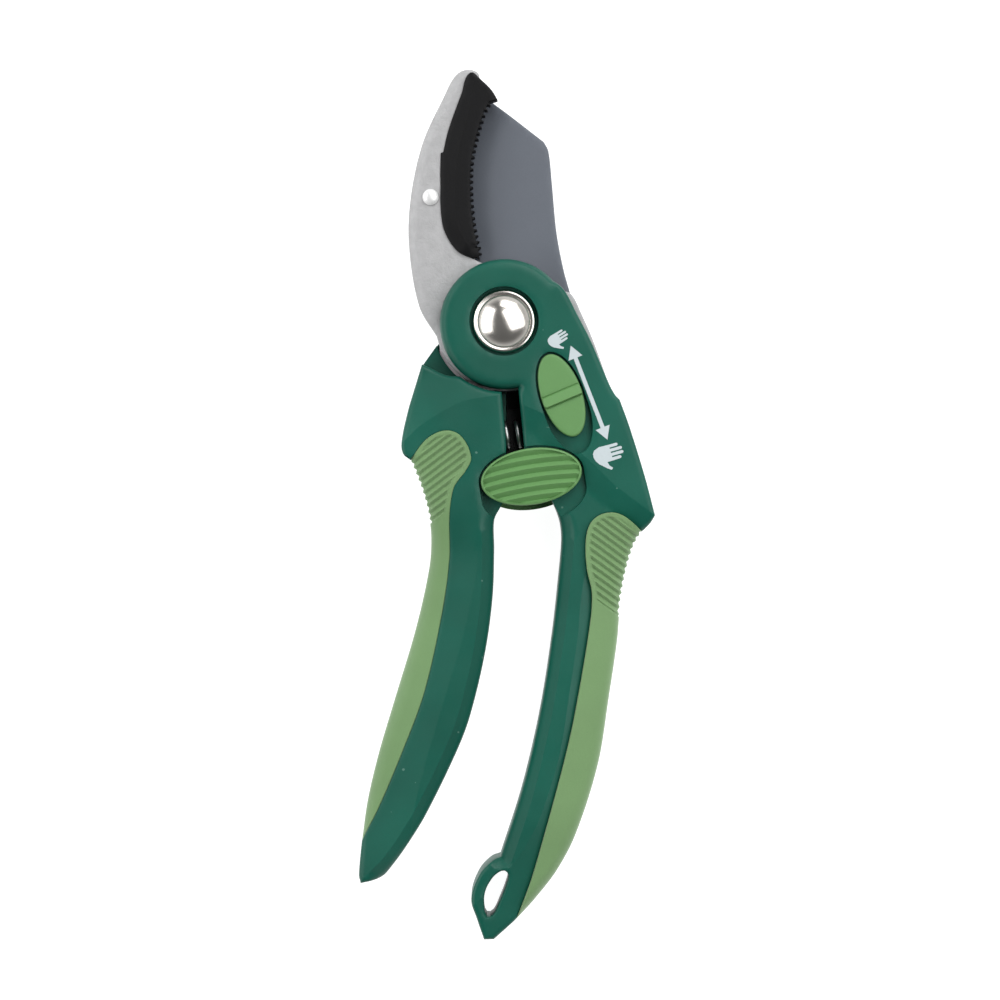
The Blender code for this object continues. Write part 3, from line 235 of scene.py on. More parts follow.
BLADE_TANG = [
    corner(-15.4, -9.0), (-17.5, -14.0), (-18.6, -20.0), (-18.8, -28.0), (-17.5, -34.0), (-12.5, -40.5),
    (-11.0, -46.0), (-10.9, -58.0), corner(-12.5, -72.0), corner(-8.3, -72.5), (-6.8, -58.0), (-6.7, -46.0),
    (-8.4, -37.0), corner(-10.9, -31.0), corner(-10.9, -22.0), corner(-2.2, -21.4),
]
LEFT_CREASE = [(-23.9, -28.6), (-19.8, -24.7), (-16.0, -22.1), (-12.5, -20.1), (-8.9, -18.6), (-5.2, -17.9),
               (-0.6, -17.3)]
RIGHT_CREASE = [(4.0, -19.4), (10.1, -22.1), (16.0, -29.0), (21.4, -33.9), (25.8, -38.4), (29.4, -41.1),
                (35.4, -45.5)]

LOCK_CENTRE, LOCK_LONG, LOCK_SHORT, LOCK_TILT = (6.4, -36.4), 11.9, 6.6, 9.0
LOCK_WAY = (4.0 * math.sin(math.radians(9)), -4.0 * math.cos(math.radians(9)))
REAR_LOCK_CENTRE = (6.4 + 0.3 * LOCK_WAY[0], -36.4 + 0.3 * LOCK_WAY[1])
SELECTOR_CENTRE, SELECTOR_LONG, SELECTOR_SHORT, SELECTOR_TILT = (13.5, -17.4), 10.1, 4.8, 109.0
SELECTOR_WAY = (3.6 * math.sin(math.radians(19)), -3.6 * math.cos(math.radians(19)))
LOCK_SCREW = (4.3, -36.4)
LEFT_SCREWS = ((-14.5, -19.5), (-11.0, -80.0), (-20.5, -108.0))
RIGHT_SCREWS = ((21.5, -30.0), (14.6, -80.0), (8.2, -110.0))

HUB = arc(15.25, -78, -318, 0.15, -0.6)
LEFT_HOOD = [corner(-19.3, -10.0), (-16.6, -11.2), (-13.4, -12.6)] + arc(16.55, 231, 268)
LEFT_REAR_HOOD = [corner(-19.1, -9.9)] + arc(15.4, 195, -88)
RIGHT_HOOD = [corner(3.4, -16.0)] + HUB + [(14.1, 7.3)] + RIGHT_OUTER_TOP
RIGHT_REAR_HOOD = [corner(LIP_START, -15.75)] + arc(15.6, -87, -45) + [(17.5, -12.4), (22.5, -14.4)]

# The sides of each grip, and each handle without its grip's side and its head.
LEFT_GRIP_SIDE = [corner(*LEFT_OUTER_END)] + LEFT_GRIP_INNER + LEFT_GRIP_TOP + [corner(*LEFT_OUTER_TOP[-1])]
RIGHT_GRIP_SIDE = (
    [corner(*RIGHT_OUTER_START)] + RIGHT_GRIP_TOP + RIGHT_GRIP_INNER + [corner(*RIGHT_OUTER_END[-1])])
LEFT_GRIP_OUTER = [LEFT_OUTER_TOP[-1]] + LEFT_OUTER + [LEFT_OUTER_END]
RIGHT_GRIP_OUTER = [RIGHT_OUTER_START] + RIGHT_OUTER + RIGHT_OUTER_END
LEFT_TAIL = LEFT_SLOT[::-1] + LEFT_INNER[::-1] + LEFT_END[::-1]
RIGHT_TAIL = RIGHT_END + RIGHT_INNER
LEFT_SHOULDER = LEFT_OUTER_TOP[:-1][::-1]

# Whole handles, then the covers, which stop at the grips, then the grips and the metal parts.
left_side = LEFT_TAIL + LEFT_GRIP_OUTER[::-1] + LEFT_SHOULDER
right_side = RIGHT_OUTER_WIDE + RIGHT_GRIP_OUTER + RIGHT_TAIL
left_front = sampled(LEFT_HOOD + left_side)
left_rear = sampled(LEFT_REAR_HOOD + left_side)
right_front = sampled(RIGHT_HOOD + right_side + RIGHT_SLOT)
right_rear = sampled(RIGHT_REAR_HOOD + right_side + RIGHT_REAR_SLOT)
left_cover_side = LEFT_TAIL + LEFT_GRIP_SIDE + LEFT_SHOULDER
right_cover_side = RIGHT_OUTER_WIDE + RIGHT_GRIP_SIDE + RIGHT_TAIL
left_front_cover = sampled(LEFT_HOOD + left_cover_side)
left_rear_cover = sampled(LEFT_REAR_HOOD + left_cover_side)
right_front_cover = sampled(RIGHT_HOOD + right_cover_side + RIGHT_SLOT)
right_rear_cover = sampled(RIGHT_REAR_HOOD + right_cover_side + RIGHT_REAR_SLOT)
left_grip = sampled(LEFT_GRIP_SIDE + LEFT_OUTER, length=0.4)
right_grip = sampled(RIGHT_GRIP_SIDE + RIGHT_OUTER_END[:1] + RIGHT_OUTER[::-1], length=0.4)
jaw = sampled(
    JAW_OUTER + arc(16.2, 192, 238) + arc(15.8, 244, 289) + JAW_TANG + arc(14.4, 27, 108) + JAW_INNER)
heel = [corner(20.0 * math.cos(math.radians(-11)), 20.0 * math.sin(math.radians(-11))),
        (17.4, 0.9), (15.5, 7.5), (14.0, 13.0)]
blade = sampled(BLADE_EDGE + arc(16.2, 122, 200) + BLADE_TANG + arc(16.2, 262, 342) + heel + BLADE_BACKBONE)


# ---------------- measuring on many points at once

def from_pivot(points):
    return np.hypot(points[:, 0], points[:, 1])


def away(points, line, closed=False):
    """Each point's distance to a line of straight pieces."""
    ends = np.array([p[:2] for p in line], float)
    starts, stops = (ends, np.roll(ends, -1, axis=0)) if closed else (ends[:-1], ends[1:])
    best = np.full(len(points), 1e9)
    for a, b in zip(starts, stops):
        way = b - a
        share = np.clip((points - a) @ way / max(way @ way, 1e-12), 0, 1)
        gap = points - a - share[:, None] * way
        best = np.minimum(best, np.einsum("ij,ij->i", gap, gap))
    return np.sqrt(best)


def within(points, polygon):
    """Which points lie inside the polygon."""
    ends = np.array([p[:2] for p in polygon], float)
    result = np.zeros(len(points), bool)
    for a, b in zip(ends, np.roll(ends, -1, axis=0)):
        if a[1] != b[1]:
            crosses = (a[1] > points[:, 1]) != (b[1] > points[:, 1])
            at = (b[0] - a[0]) * (points[:, 1] - a[1]) / (b[1] - a[1]) + a[0]
            result ^= crosses & (points[:, 0] < at)
    return result


def beside(line, distance):
    """The line moved to its left by the distance, without the points that bunch up."""
    result = []
    for index, point in enumerate(line):
        before, after = line[max(index - 1, 0)], line[min(index + 1, len(line) - 1)]
        way = (Vector(after[:2]) - Vector(before[:2])).normalized()
        result.append((point[0] - way.y * distance, point[1] + way.x * distance))
    spots = np.array(result)
    good = away(spots, line) > abs(distance) * 0.98
    return [p for p, g in zip(result, good) if g]


def smooth(value, low, high):
    """0 up to low, 1 from high, and an even curve between."""
    t = np.clip((value - low) / (high - low), 0, 1)
    return t * t * (3 - 2 * t)


def rounding(distance, radius):
    """How far a face drops near an edge that is rounded to the given radius."""
    reach = np.clip(radius - distance, 0, radius)
    return radius - np.sqrt(np.maximum(radius * radius - reach * reach, 0))


def facet(points, region, line, slope, most):
    """How far a facet that slopes away from its crease has dropped."""
    return np.where(within(points, region), np.minimum(away(points, line) * slope, most), 0.0)


def pocket(points, polygon, depth, soft=0.35):
    """A recess with upright sides and an edge that is slightly rounded."""
    gap = away(points, polygon, closed=True)
    inside = within(points, polygon)
    return np.where(inside & (gap > TOUCH), depth, rounding(gap, soft))


def sunk(drop, points, *recesses):
    """The drop with recesses, each an outline and a depth, let into it."""
    for recess, depth in recesses:
        drop = np.maximum(drop, pocket(points, recess, depth))
    return drop


# ---------------- reliefs

def linked(name, data):
    made = bpy.data.objects.new(name, data)
    bpy.context.scene.collection.objects.link(made)
    return made


def smooth_mesh(name, solid):
    bmesh.ops.recalc_face_normals(solid, faces=solid.faces)
    mesh = bpy.data.meshes.new(name)
    solid.to_mesh(mesh)
    solid.free()
    mesh.shade_smooth()
    return mesh


def finished(name, mesh, body, look):
    made = linked(name, mesh)
    mesh.materials.append(look)
    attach(made, body)
    return made


def relief(name, outline, front, back, body, look, holes=(), loops=(), lines=(), step=1.0,
           rings=(0.12, 0.4, 0.8, 1.3), sharp=28):
    """A solid between a shaped front and a shaped back.

    The mesh's edges follow the outline, rings beside it, the closed loops and the open lines, which stay sharp.
    Between them its points lie on a grid of the given step.
    """
    outline = [tuple(p) for p in outline]
    closed = [outline] + [list(h) for h in holes]
    verts, edges = [], []

    def add(chain, ring=True):
        first, count = len(verts), len(chain)
        verts.extend(chain)
        edges.extend((first + i, first + (i + 1) % count) for i in range(count if ring else count - 1))

    def solid_at(spots):
        good = within(spots, outline)
        for hole in closed[1:]:
            good &= ~within(spots, hole)
        return good

    for polygon in closed:
        add(polygon)
    every = [np.array(p) for p in closed]
    for number, polygon in enumerate(closed):
        for ring in rings:
            moved = grown(polygon, ring if number else -ring)
            spots = np.array(moved)
            gap = np.min([away(spots, q, closed=True) for q in every], axis=0)
            good = gap > ring * 0.93
            chain = [p for p, g in zip(moved, good) if g]
            marks = [i for i, g in enumerate(good) if g]
            first = len(verts)
            verts.extend(chain)
            for k in range(len(chain)):
                after = (k + 1) % len(chain)
                if (marks[k] + 1) % len(moved) == marks[after]:
                    edges.append((first + k, first + after))
    followed = []
    for loop in loops:
        for offset in (-0.05, 0.05):
            add(grown(loop, offset))
        followed.append((loop, True))
    for line in lines:
        add(line, ring=False)
        followed.append((line, False))
    low, high = every[0].min(axis=0), every[0].max(axis=0)
    rows = np.arange(low[1], high[1], step * 0.87)
    grid = []
    for number, y in enumerate(rows):
        xs = np.arange(low[0] + (step / 2 if number % 2 else 0), high[0], step)
        grid.append(np.column_stack([xs, np.full(len(xs), y)]))
    grid = np.vstack(grid)
    grid = grid[solid_at(grid)]
    margin = (rings[-1] if rings else 0) + step * 0.45
    clear = np.min([away(grid, q, closed=True) for q in every], axis=0) > margin
    for line, ring in followed:
        clear &= away(grid, line, closed=ring) > step * 0.3
    verts.extend(map(tuple, grid[clear]))

    flat, _, faces = delaunay_2d_cdt([Vector(v) for v in verts], edges, [], 0, 1e-4)[:3]
    spots = np.array([tuple(v) for v in flat])
    middles = np.array([spots[list(f)].mean(axis=0) for f in faces])
    faces = [tuple(f) for f, g in zip(faces, solid_at(middles)) if g]
    used = sorted({i for f in faces for i in f})
    number = {old: new for new, old in enumerate(used)}
    spots = spots[used]
    faces = [tuple(number[i] for i in f) for f in faces]
    heights = front(spots)
    depths = back(spots)
    count = len(used)
    points = [(x * MM, y * MM, z * MM) for (x, y), z in zip(spots, heights)]
    points += [(x * MM, y * MM, z * MM) for (x, y), z in zip(spots, depths)]
    skin = []
    border = set()
    for face in faces:
        a, b, c = (spots[i] for i in face)
        if (b[0] - a[0]) * (c[1] - a[1]) - (b[1] - a[1]) * (c[0] - a[0]) < 0:
            face = face[::-1]
        skin.append(face)
        skin.append(tuple(i + count for i in face[::-1]))
        for i in range(3):
            a, b = face[i], face[(i + 1) % 3]
            if (b, a) in border:
                border.remove((b, a))
            else:
                border.add((a, b))
    skin += [(b, a, a + count, b + count) for a, b in border]
    mesh = bpy.data.meshes.new(name)
    mesh.from_pydata(points, [], skin)
    mesh.validate()
    mesh.shade_smooth()
    mesh.set_sharp_from_angle(angle=math.radians(sharp))
    hard = np.zeros(len(mesh.edges), bool)
    mesh.attributes["sharp_edge"].data.foreach_get("value", hard)
    pairs = np.array([tuple(e.vertices) for e in mesh.edges]) % count
    upright = pairs[:, 0] == pairs[:, 1]
    for line in lines:
        near = away(spots, line) < TOUCH
        middle = (spots[pairs[:, 0]] + spots[pairs[:, 1]]) / 2
        hard |= near[pairs[:, 0]] & near[pairs[:, 1]] & (away(middle, line) < TOUCH) & ~upright
    mesh.attributes["sharp_edge"].data.foreach_set("value", hard)
    return finished(name, mesh, body, look)


def turned(name, profile, x, y, body, look, steps, sharp=25):
    """A turned piece from a profile of (radius, height), listed from its top down its outer side."""
    solid = bmesh.new()
    rings = []
    for radius, height in profile:
        if radius == 0:
            rings.append([solid.verts.new((x * MM, y * MM, height * MM))])
            continue
        turns = [2 * math.pi * i / steps for i in range(steps)]
        rings.append([
            solid.verts.new(((x + radius * math.cos(a)) * MM, (y + radius * math.sin(a)) * MM, height * MM))
            for a in turns])
    for upper, lower in zip(rings, rings[1:]):
        for i in range(steps):
            j = (i + 1) % steps
            if len(upper) == 1:
                solid.faces.new((upper[0], lower[i], lower[j]))
            elif len(lower) == 1:
                solid.faces.new((upper[i], lower[0], upper[j]))
            else:
                solid.faces.new((upper[i], lower[i], lower[j], upper[j]))
    mesh = smooth_mesh(name, solid)
    mesh.set_sharp_from_angle(angle=math.radians(sharp))
    return finished(name, mesh, body, look)


# ---------------- materials

def shader(name, colour, roughness, metallic=0.0, vary=0.12, grain=900.0, bump=0.06, rough_vary=0.06,
           speck=None, patch=35.0, gloss=0.5, sheen=0.0):
    """A procedural material: colour drift, fine grain in the bump, uneven roughness and perhaps dust specks."""
    made = bpy.data.materials.new(name)
    made.use_nodes = True
    tree = made.node_tree
    main = tree.nodes["Principled BSDF"]
    main.inputs["Metallic"].default_value = metallic
    main.inputs["Specular IOR Level"].default_value = gloss
    main.inputs["Sheen Weight"].default_value = sheen
    place = tree.nodes.new("ShaderNodeTexCoord").outputs["Object"]

    def noise(scale, detail, rough=0.55):
        node = tree.nodes.new("ShaderNodeTexNoise")
        node.inputs["Scale"].default_value = scale
        node.inputs["Detail"].default_value = detail
        node.inputs["Roughness"].default_value = rough
        tree.links.new(place, node.inputs["Vector"])
        return node.outputs["Fac"]

    def spread(source, low, high, to_low, to_high):
        node = tree.nodes.new("ShaderNodeMapRange")
        tree.links.new(source, node.inputs["Value"])
        for key, value in (("From Min", low), ("From Max", high), ("To Min", to_low), ("To Max", to_high)):
            node.inputs[key].default_value = value
        return node.outputs["Result"]

    def mixed(factor, a, b, way="MIX"):
        node = tree.nodes.new("ShaderNodeMix")
        node.data_type = "RGBA"
        node.blend_type = way
        tree.links.new(factor, node.inputs[0])
        for socket, value in ((node.inputs[6], a), (node.inputs[7], b)):
            if isinstance(value, tuple):
                socket.default_value = (*value, 1.0)
            else:
                tree.links.new(value, socket)
        return node.outputs[2]

    darker = tuple(c * (1 - vary) for c in colour)
    lighter = tuple(min(1, c * (1 + vary)) for c in colour)
    tone = mixed(spread(noise(patch, 3), 0.35, 0.65, 0, 1), darker, lighter)
    fine = noise(grain, 4, 0.6)
    tone = mixed(spread(fine, 0.3, 0.7, 0, 0.25), tone, tuple(c * 0.86 for c in colour))
    if speck:
        dots = spread(noise(700.0, 0), 0.87, 0.89, 0, 0.35)
        tone = mixed(dots, tone, speck)
    tree.links.new(tone, main.inputs["Base Color"])
    rough = spread(noise(patch * 3, 4), 0.3, 0.7, roughness - rough_vary, roughness + rough_vary)
    tree.links.new(rough, main.inputs["Roughness"])
    height = tree.nodes.new("ShaderNodeBump")
    height.inputs["Strength"].default_value = bump
    height.inputs["Distance"].default_value = 0.0002
    tree.links.new(fine, height.inputs["Height"])
    tree.links.new(height.outputs["Normal"], main.inputs["Normal"])
    return made


DARK = shader("moulded_dark_green", (0.003, 0.084, 0.057), 0.42, vary=0.14, grain=1800, bump=0.1,
              speck=(0.2, 0.36, 0.3), gloss=0.28)
LIGHT = shader("soft_light_green", (0.145, 0.262, 0.106), 0.6, vary=0.07, grain=2400, bump=0.14,
               speck=(0.3, 0.42, 0.25), gloss=0.3, sheen=0.35)
BUTTON = shader("moulded_light_green", (0.112, 0.255, 0.085), 0.5, vary=0.06, grain=1600, bump=0.06,
                gloss=0.35)
CAST = shader("blasted_steel", (0.385, 0.385, 0.39), 0.5, metallic=0.15, vary=0.06, grain=1500, bump=0.7,
              patch=420)
COATED = shader("grey_coating", (0.108, 0.12, 0.142), 0.45, metallic=0.1, vary=0.05, grain=2600, bump=0.06,
                gloss=0.35)
CHROME = shader("polished_chrome", (0.82, 0.785, 0.73), 0.2, metallic=1.0, vary=0.03, grain=300, bump=0.01,
                rough_vary=0.03)
BLACK = shader("black_nylon", (0.005, 0.005, 0.0055), 0.5, vary=0.2, grain=1500, bump=0.12, gloss=0.14)
STEEL = shader("plain_steel", (0.6, 0.6, 0.6), 0.3, metallic=1.0, vary=0.06, grain=900, bump=0.08)
BRIGHT = shader("bright_rivet", (0.8, 0.8, 0.8), 0.4, metallic=0.3, vary=0.03, grain=900, bump=0.05)
# The blade's uncoated tang in its own purple-grey steel tone, painted much lighter than the steel is, as
# painted light for the deep gap beside the hub where it lies.
TANG_WITH_PAINTED_LIGHT = shader("tang_steel_with_painted_light", (0.6, 0.55, 0.58), 0.45, metallic=0.1, vary=0.12, grain=1200, bump=0.15,
              patch=90)
PRINT = shader("pale_print", (0.5, 0.56, 0.58), 0.55, vary=0.04, grain=1200, bump=0.02, gloss=0.2)


def recolour(made, look, test):
    """Gives the faces whose middle, in millimetres, passes the test another material."""
    made.data.materials.append(look)
    middles = np.array([tuple(f.center) for f in made.data.polygons]) / MM
    good = test(middles)
    for face, chosen in zip(made.data.polygons, good):
        if chosen:
            face.material_index = len(made.data.materials) - 1


def repaint(node, look):
    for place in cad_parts[node].material_slots:
        place.material = look


# ---------------- handles

BUTTON_GAP = 0.5
SCREW_RECESS = 3.0
CAP_DEPTH, SELECTOR_DEPTH, LOCK_DEPTH = 2.8, 2.2, 2.6
NUT_DEPTH, REAR_LOCK_DEPTH, LIP_DEPTH, SCREW_DEPTH = 5.2, 2.9, 1.7, 2.4
FRONT_EDGE, REAR_EDGE, HUB_EDGE, HOLE_EDGE, SEAM_EDGE = 0.9, 1.2, 2.0, 0.8, 0.25

hang_hole = sampled(HANG_HOLE)
lip_room = [(LIP_START - 0.25, -15.5), (LIP_START - 0.25, -31.9), (2.0, -31.9), (2.0, -15.5)]
lip_line = [(LIP_END, -15.7), (LIP_END, -31.4)]
jaw_room = grown(jaw, 0.3)
cap_recess = circle(8.1)
nut_recess = circle(7.6)
lock_size = (LOCK_LONG + BUTTON_GAP, LOCK_SHORT + BUTTON_GAP, LOCK_TILT, LOCK_WAY)
lock_recess = slid(*LOCK_CENTRE, *lock_size)
rear_lock_recess = slid(*REAR_LOCK_CENTRE, *lock_size)
selector_recess = slid(*SELECTOR_CENTRE, SELECTOR_LONG + BUTTON_GAP, SELECTOR_SHORT + BUTTON_GAP, SELECTOR_TILT,
                       SELECTOR_WAY)
screw_recesses = {side: [circle(SCREW_RECESS, *spot, 32) for spot in spots]
                  for side, spots in ((LEFT, LEFT_SCREWS), (RIGHT, RIGHT_SCREWS))}

hub_rim = traced(HUB)
left_inner_line = traced(LEFT_END[2:] + LEFT_INNER)
right_inner_line = traced(RIGHT_END[-1:] + RIGHT_INNER[:7])
left_outer_line = traced(LEFT_GRIP_OUTER)
right_outer_line = traced(RIGHT_GRIP_OUTER)
left_slope_line = traced(LEFT_GRIP_OUTER + LEFT_END[:2])
right_slope_line = traced(RIGHT_GRIP_OUTER + RIGHT_END[:1])
left_seam = traced(LEFT_GRIP_SIDE)
right_seam = traced(RIGHT_GRIP_SIDE)
crease_left = traced(LEFT_CREASE)
crease_right = traced([corner(*p) for p in RIGHT_CREASE])
above_left_crease = crease_left + [(4.0, -5.0), (-30.0, -2.0), (-32.0, -34.0)]
below_right_crease = crease_right + [(50.0, -60.0), (50.0, -160.0), (-20.0, -160.0), (-4.0, -30.0)]

BEVEL_WIDTH, BEVEL_SLOPE = 2.8, 0.85
OUTER_WIDTH, OUTER_SLOPE = {LEFT: 11.2, RIGHT: 9.4}, 0.24
TIP_DROP = 0.8


def handle_shape(points, side):
    """How far a handle's face lies below its highest plane.

    It drops along the inner bevel, down the slope towards the grip's outer edge, and at the tip.
    """
    y = points[:, 1]
    inner = left_inner_line if side == LEFT else right_inner_line
    outer = left_slope_line if side == LEFT else right_slope_line
    bevel = np.clip(BEVEL_WIDTH - away(points, inner), 0, BEVEL_WIDTH) * BEVEL_SLOPE * smooth(-y, 41.0, 50.0)
    wide = OUTER_WIDTH[side]
    slope = np.clip(wide - away(points, outer), 0, wide) * OUTER_SLOPE * smooth(-y, 38.0, 58.0)
    return bevel + slope + smooth(-y, 112.0, 138.0) * TIP_DROP


def edge(points, outline, radius):
    """How far a face drops where it is rounded along an outline."""
    return rounding(away(points, outline, closed=True), radius)


def seam(points, line):
    return rounding(away(points, line), SEAM_EDGE)


def left_front_top(points):
    drop = handle_shape(points, LEFT) + facet(points, above_left_crease, crease_left, 0.36, 3.4)
    drop = drop + edge(points, left_front, FRONT_EDGE) + seam(points, left_seam)
    return FRONT - sunk(drop, points, (lock_recess, LOCK_DEPTH))


def left_rear_top(points):
    return np.where(from_pivot(points) < HOOD_RADIUS, REAR_HEAD, SPLIT)


def left_rear_low(points):
    drop = handle_shape(points, LEFT)
    outside_head = smooth(from_pivot(points), 15.4, 19.0)
    drop = drop + facet(points, above_left_crease, crease_left, 0.2, 2.0) * outside_head
    drop = drop + edge(points, left_rear, REAR_EDGE) + seam(points, left_seam)
    drop = sunk(drop, points, (nut_recess, NUT_DEPTH), (rear_lock_recess, REAR_LOCK_DEPTH),
                (lip_room, LIP_DEPTH))
    return sunk(drop, points, *((recess, SCREW_DEPTH) for recess in screw_recesses[LEFT]))


def right_front_top(points):
    drop = handle_shape(points, RIGHT) + facet(points, below_right_crease, crease_right, 0.3, 1.5)
    drop = drop + rounding(away(points, hub_rim), HUB_EDGE) + edge(points, right_front, FRONT_EDGE)
    drop = drop + edge(points, hang_hole, HOLE_EDGE) + seam(points, right_seam)
    return FRONT - sunk(drop, points, (cap_recess, CAP_DEPTH), (selector_recess, SELECTOR_DEPTH),
                        (lock_recess, LOCK_DEPTH))


def right_front_low(points):
    over = within(points, jaw_room) | (from_pivot(points) < HOOD_RADIUS)
    return np.where(over, HEAD_BACK, JAW_BACK)


def right_rear_top(points):
    lip = (points[:, 0] < LIP_END) & (points[:, 1] > -32)
    return np.where(lip, LIP_TOP, np.where(from_pivot(points) < HEEL_RADIUS, REAR_HEAD, SPLIT))


def right_rear_low(points):
    drop = handle_shape(points, RIGHT) + facet(points, below_right_crease, crease_right, 0.1, 0.8)
    drop = drop + edge(points, right_rear, REAR_EDGE) + seam(points, right_seam)
    drop = drop + edge(points, hang_hole, HOLE_EDGE)
    drop = sunk(drop, points, (rear_lock_recess, REAR_LOCK_DEPTH))
    return sunk(drop, points, *((recess, SCREW_DEPTH) for recess in screw_recesses[RIGHT]))


# Where the inner bevel and the slope to the grip end.
bevel_lines = {
    LEFT: [beside([p for p in left_inner_line if p[1] < -48], BEVEL_WIDTH),
           beside([p for p in left_slope_line if p[1] < -52], OUTER_WIDTH[LEFT])],
    RIGHT: [beside([p for p in right_inner_line if p[1] < -50], -BEVEL_WIDTH),
            beside([p for p in right_slope_line if p[1] < -56], -OUTER_WIDTH[RIGHT])],
}


def level(height):
    return lambda points: np.full(len(points), float(height))


def cover(name, outline, front, back, body, holes=(), loops=(), lines=()):
    made = relief(name, outline, front, back, body, DARK, holes=holes, loops=loops,
                  lines=lines)
    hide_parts(name.replace("_shell", ""))
    return made


cover("left_front_cover_shell", left_front_cover, left_front_top, level(JAW_BACK), LEFT,
      loops=[lock_recess], lines=[crease_left] + bevel_lines[LEFT])
cover("left_rear_cover_shell", left_rear_cover, left_rear_top, left_rear_low, LEFT,
      loops=[rear_lock_recess, nut_recess, circle(HOOD_RADIUS)] + screw_recesses[LEFT],
      lines=[crease_left, [lip_room[0], lip_room[1], (0.3, -31.9)]] + bevel_lines[LEFT])
cover("right_front_cover_shell", right_front_cover, right_front_top, right_front_low, RIGHT, holes=[hang_hole],
      loops=[cap_recess, selector_recess, lock_recess, jaw_room], lines=[crease_right] + bevel_lines[RIGHT])
made = cover("right_rear_cover_shell", right_rear_cover, right_rear_top, right_rear_low, RIGHT,
             holes=[hang_hole], loops=[rear_lock_recess, circle(HEEL_RADIUS)] + screw_recesses[RIGHT],
             lines=[crease_right, lip_line] + bevel_lines[RIGHT])
# Painted shade: the floor of the slot between the handles, part of the green cover, is painted black for the
# shade deep in the narrow slot.
recolour(made, BLACK, lambda p: (p[:, 0] < 4.9) & (p[:, 1] > -31.3) & (p[:, 2] > 1.0))


# ---------------- soft grips

RIB_DEPTH, RIB_PITCH, RIB_TURN, SCALLOP = 0.65, 1.47, 0.55, 0.6


def saw(phase, turn):
    """Rises from 0 to 1 until the share turn of each period, then falls back."""
    share = phase - np.floor(phase)
    return np.where(share < turn, share / turn, (1 - share) / (1 - turn))


class Ribs:
    """Ribs across one grip's lobe, at an angle from +X, from one line to another."""

    def __init__(self, angle, inner, first, last):
        turn = math.radians(angle)
        self.along = np.array([math.cos(turn), math.sin(turn)])
        self.across = np.array([-math.sin(turn), math.cos(turn)])
        self.inner = inner
        self.high = float(np.array(first) @ self.across)
        self.low = float(np.array(last) @ self.across)

    def mask(self, points):
        place = points @ self.across
        start = smooth(place, self.low - 0.25, self.low + 0.25)
        end = 1 - smooth(place, self.high - 0.3, self.high + 0.3)
        return start * end * smooth(away(points, self.inner), 0.8, 1.5)

    def drop(self, points):
        return RIB_DEPTH * saw((points @ self.across) / RIB_PITCH, RIB_TURN) * self.mask(points)

    def lines(self, outline, middle):
        """The crests, troughs and mid-lines, as far as they lie inside the grip."""
        result = []
        count = math.ceil((self.high - self.low) / RIB_PITCH) + 1
        start = math.floor(self.low / RIB_PITCH)
        centre = float(np.array(middle) @ self.along)
        for number in range(start, start + count + 1):
            for share in (0.0, 0.28, RIB_TURN, 0.78):
                height = (number + share) * RIB_PITCH
                if not self.low - 0.6 < height < self.high + 0.6:
                    continue
                spots = np.array([self.across * height + self.along * (centre + s)
                                  for s in np.arange(-11, 11, 0.5)])
                good = within(spots, outline) & (away(spots, outline, closed=True) > 0.3)
                run = []
                for spot, inside in zip(spots, good):
                    if inside:
                        run.append(tuple(spot))
                        continue
                    if len(run) > 1:
                        result.append(run)
                    run = []
                if len(run) > 1:
                    result.append(run)
        return result

    def scalloped(self, outline, outer):
        """The grip's outline with each rib's trough let into its outer edge."""
        spots = np.array(outline)
        inner = np.array(grown(outline, -1.0))
        near = away(spots, outer) < 0.05
        place = spots @ self.across
        here = near & (place > self.low - 0.2) & (place < self.high + 0.8)
        depth = np.where(here, SCALLOP * saw(place / RIB_PITCH, RIB_TURN), 0.0)
        return [tuple(p + (q - p) * d) for p, q, d in zip(spots, inner, depth)]


left_ribs = Ribs(37, left_seam, (-18.6, -27.0), (-17.2, -47.0))
right_ribs = Ribs(-36, right_seam, (26.0, -45.6), (27.0, -69.2))


def grip(name, outline, side, outer, line, ribs, middle):
    """A rubber grip. line is its seam with the cover, and middle a point in the lobe with the ribs."""
    def face(points):
        drop = handle_shape(points, side) + rounding(away(points, outer), 2.6) + seam(points, line)
        return drop + ribs.drop(points)

    border = ribs.scalloped(outline, outer)
    made = relief(name, border, lambda p: FRONT - face(p), face, side, LIGHT,
                  lines=ribs.lines(border, middle), step=0.9, rings=(0.15, 0.4, 0.8, 1.4, 2.1), sharp=35)
    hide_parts(name.replace("_soft", ""))


grip("left_grip_soft", left_grip, LEFT, left_outer_line, left_seam, left_ribs, (-15.0, -36.0))
grip("right_grip_soft", right_grip, RIGHT, right_outer_line, right_seam, right_ribs, (25.0, -56.0))


# ---------------- jaws

JAW_BEVEL, JAW_BEVEL_SLOPE = 1.9, 0.5
TOOTH_PITCH, TOOTH_DEPTH = 1.45, 0.75
GRIND_WIDTH, GRIND_DEPTH = 8.0, 2.4

jaw_outer_line = traced(JAW_OUTER + arc(16.2, 192, 289))


def jaw_top(points):
    bevel = np.clip(JAW_BEVEL - away(points, jaw_outer_line), 0, JAW_BEVEL) * JAW_BEVEL_SLOPE
    return JAW_FRONT - bevel - edge(points, jaw, 0.35)


def jaw_low(points):
    return JAW_BACK + edge(points, jaw, 0.5)


made = relief("counter_jaw_body", jaw, jaw_top, jaw_low, RIGHT, CAST, holes=[circle(BORE)],
              rings=(0.12, 0.35, 0.9, 1.6))
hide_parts("counter_jaw")

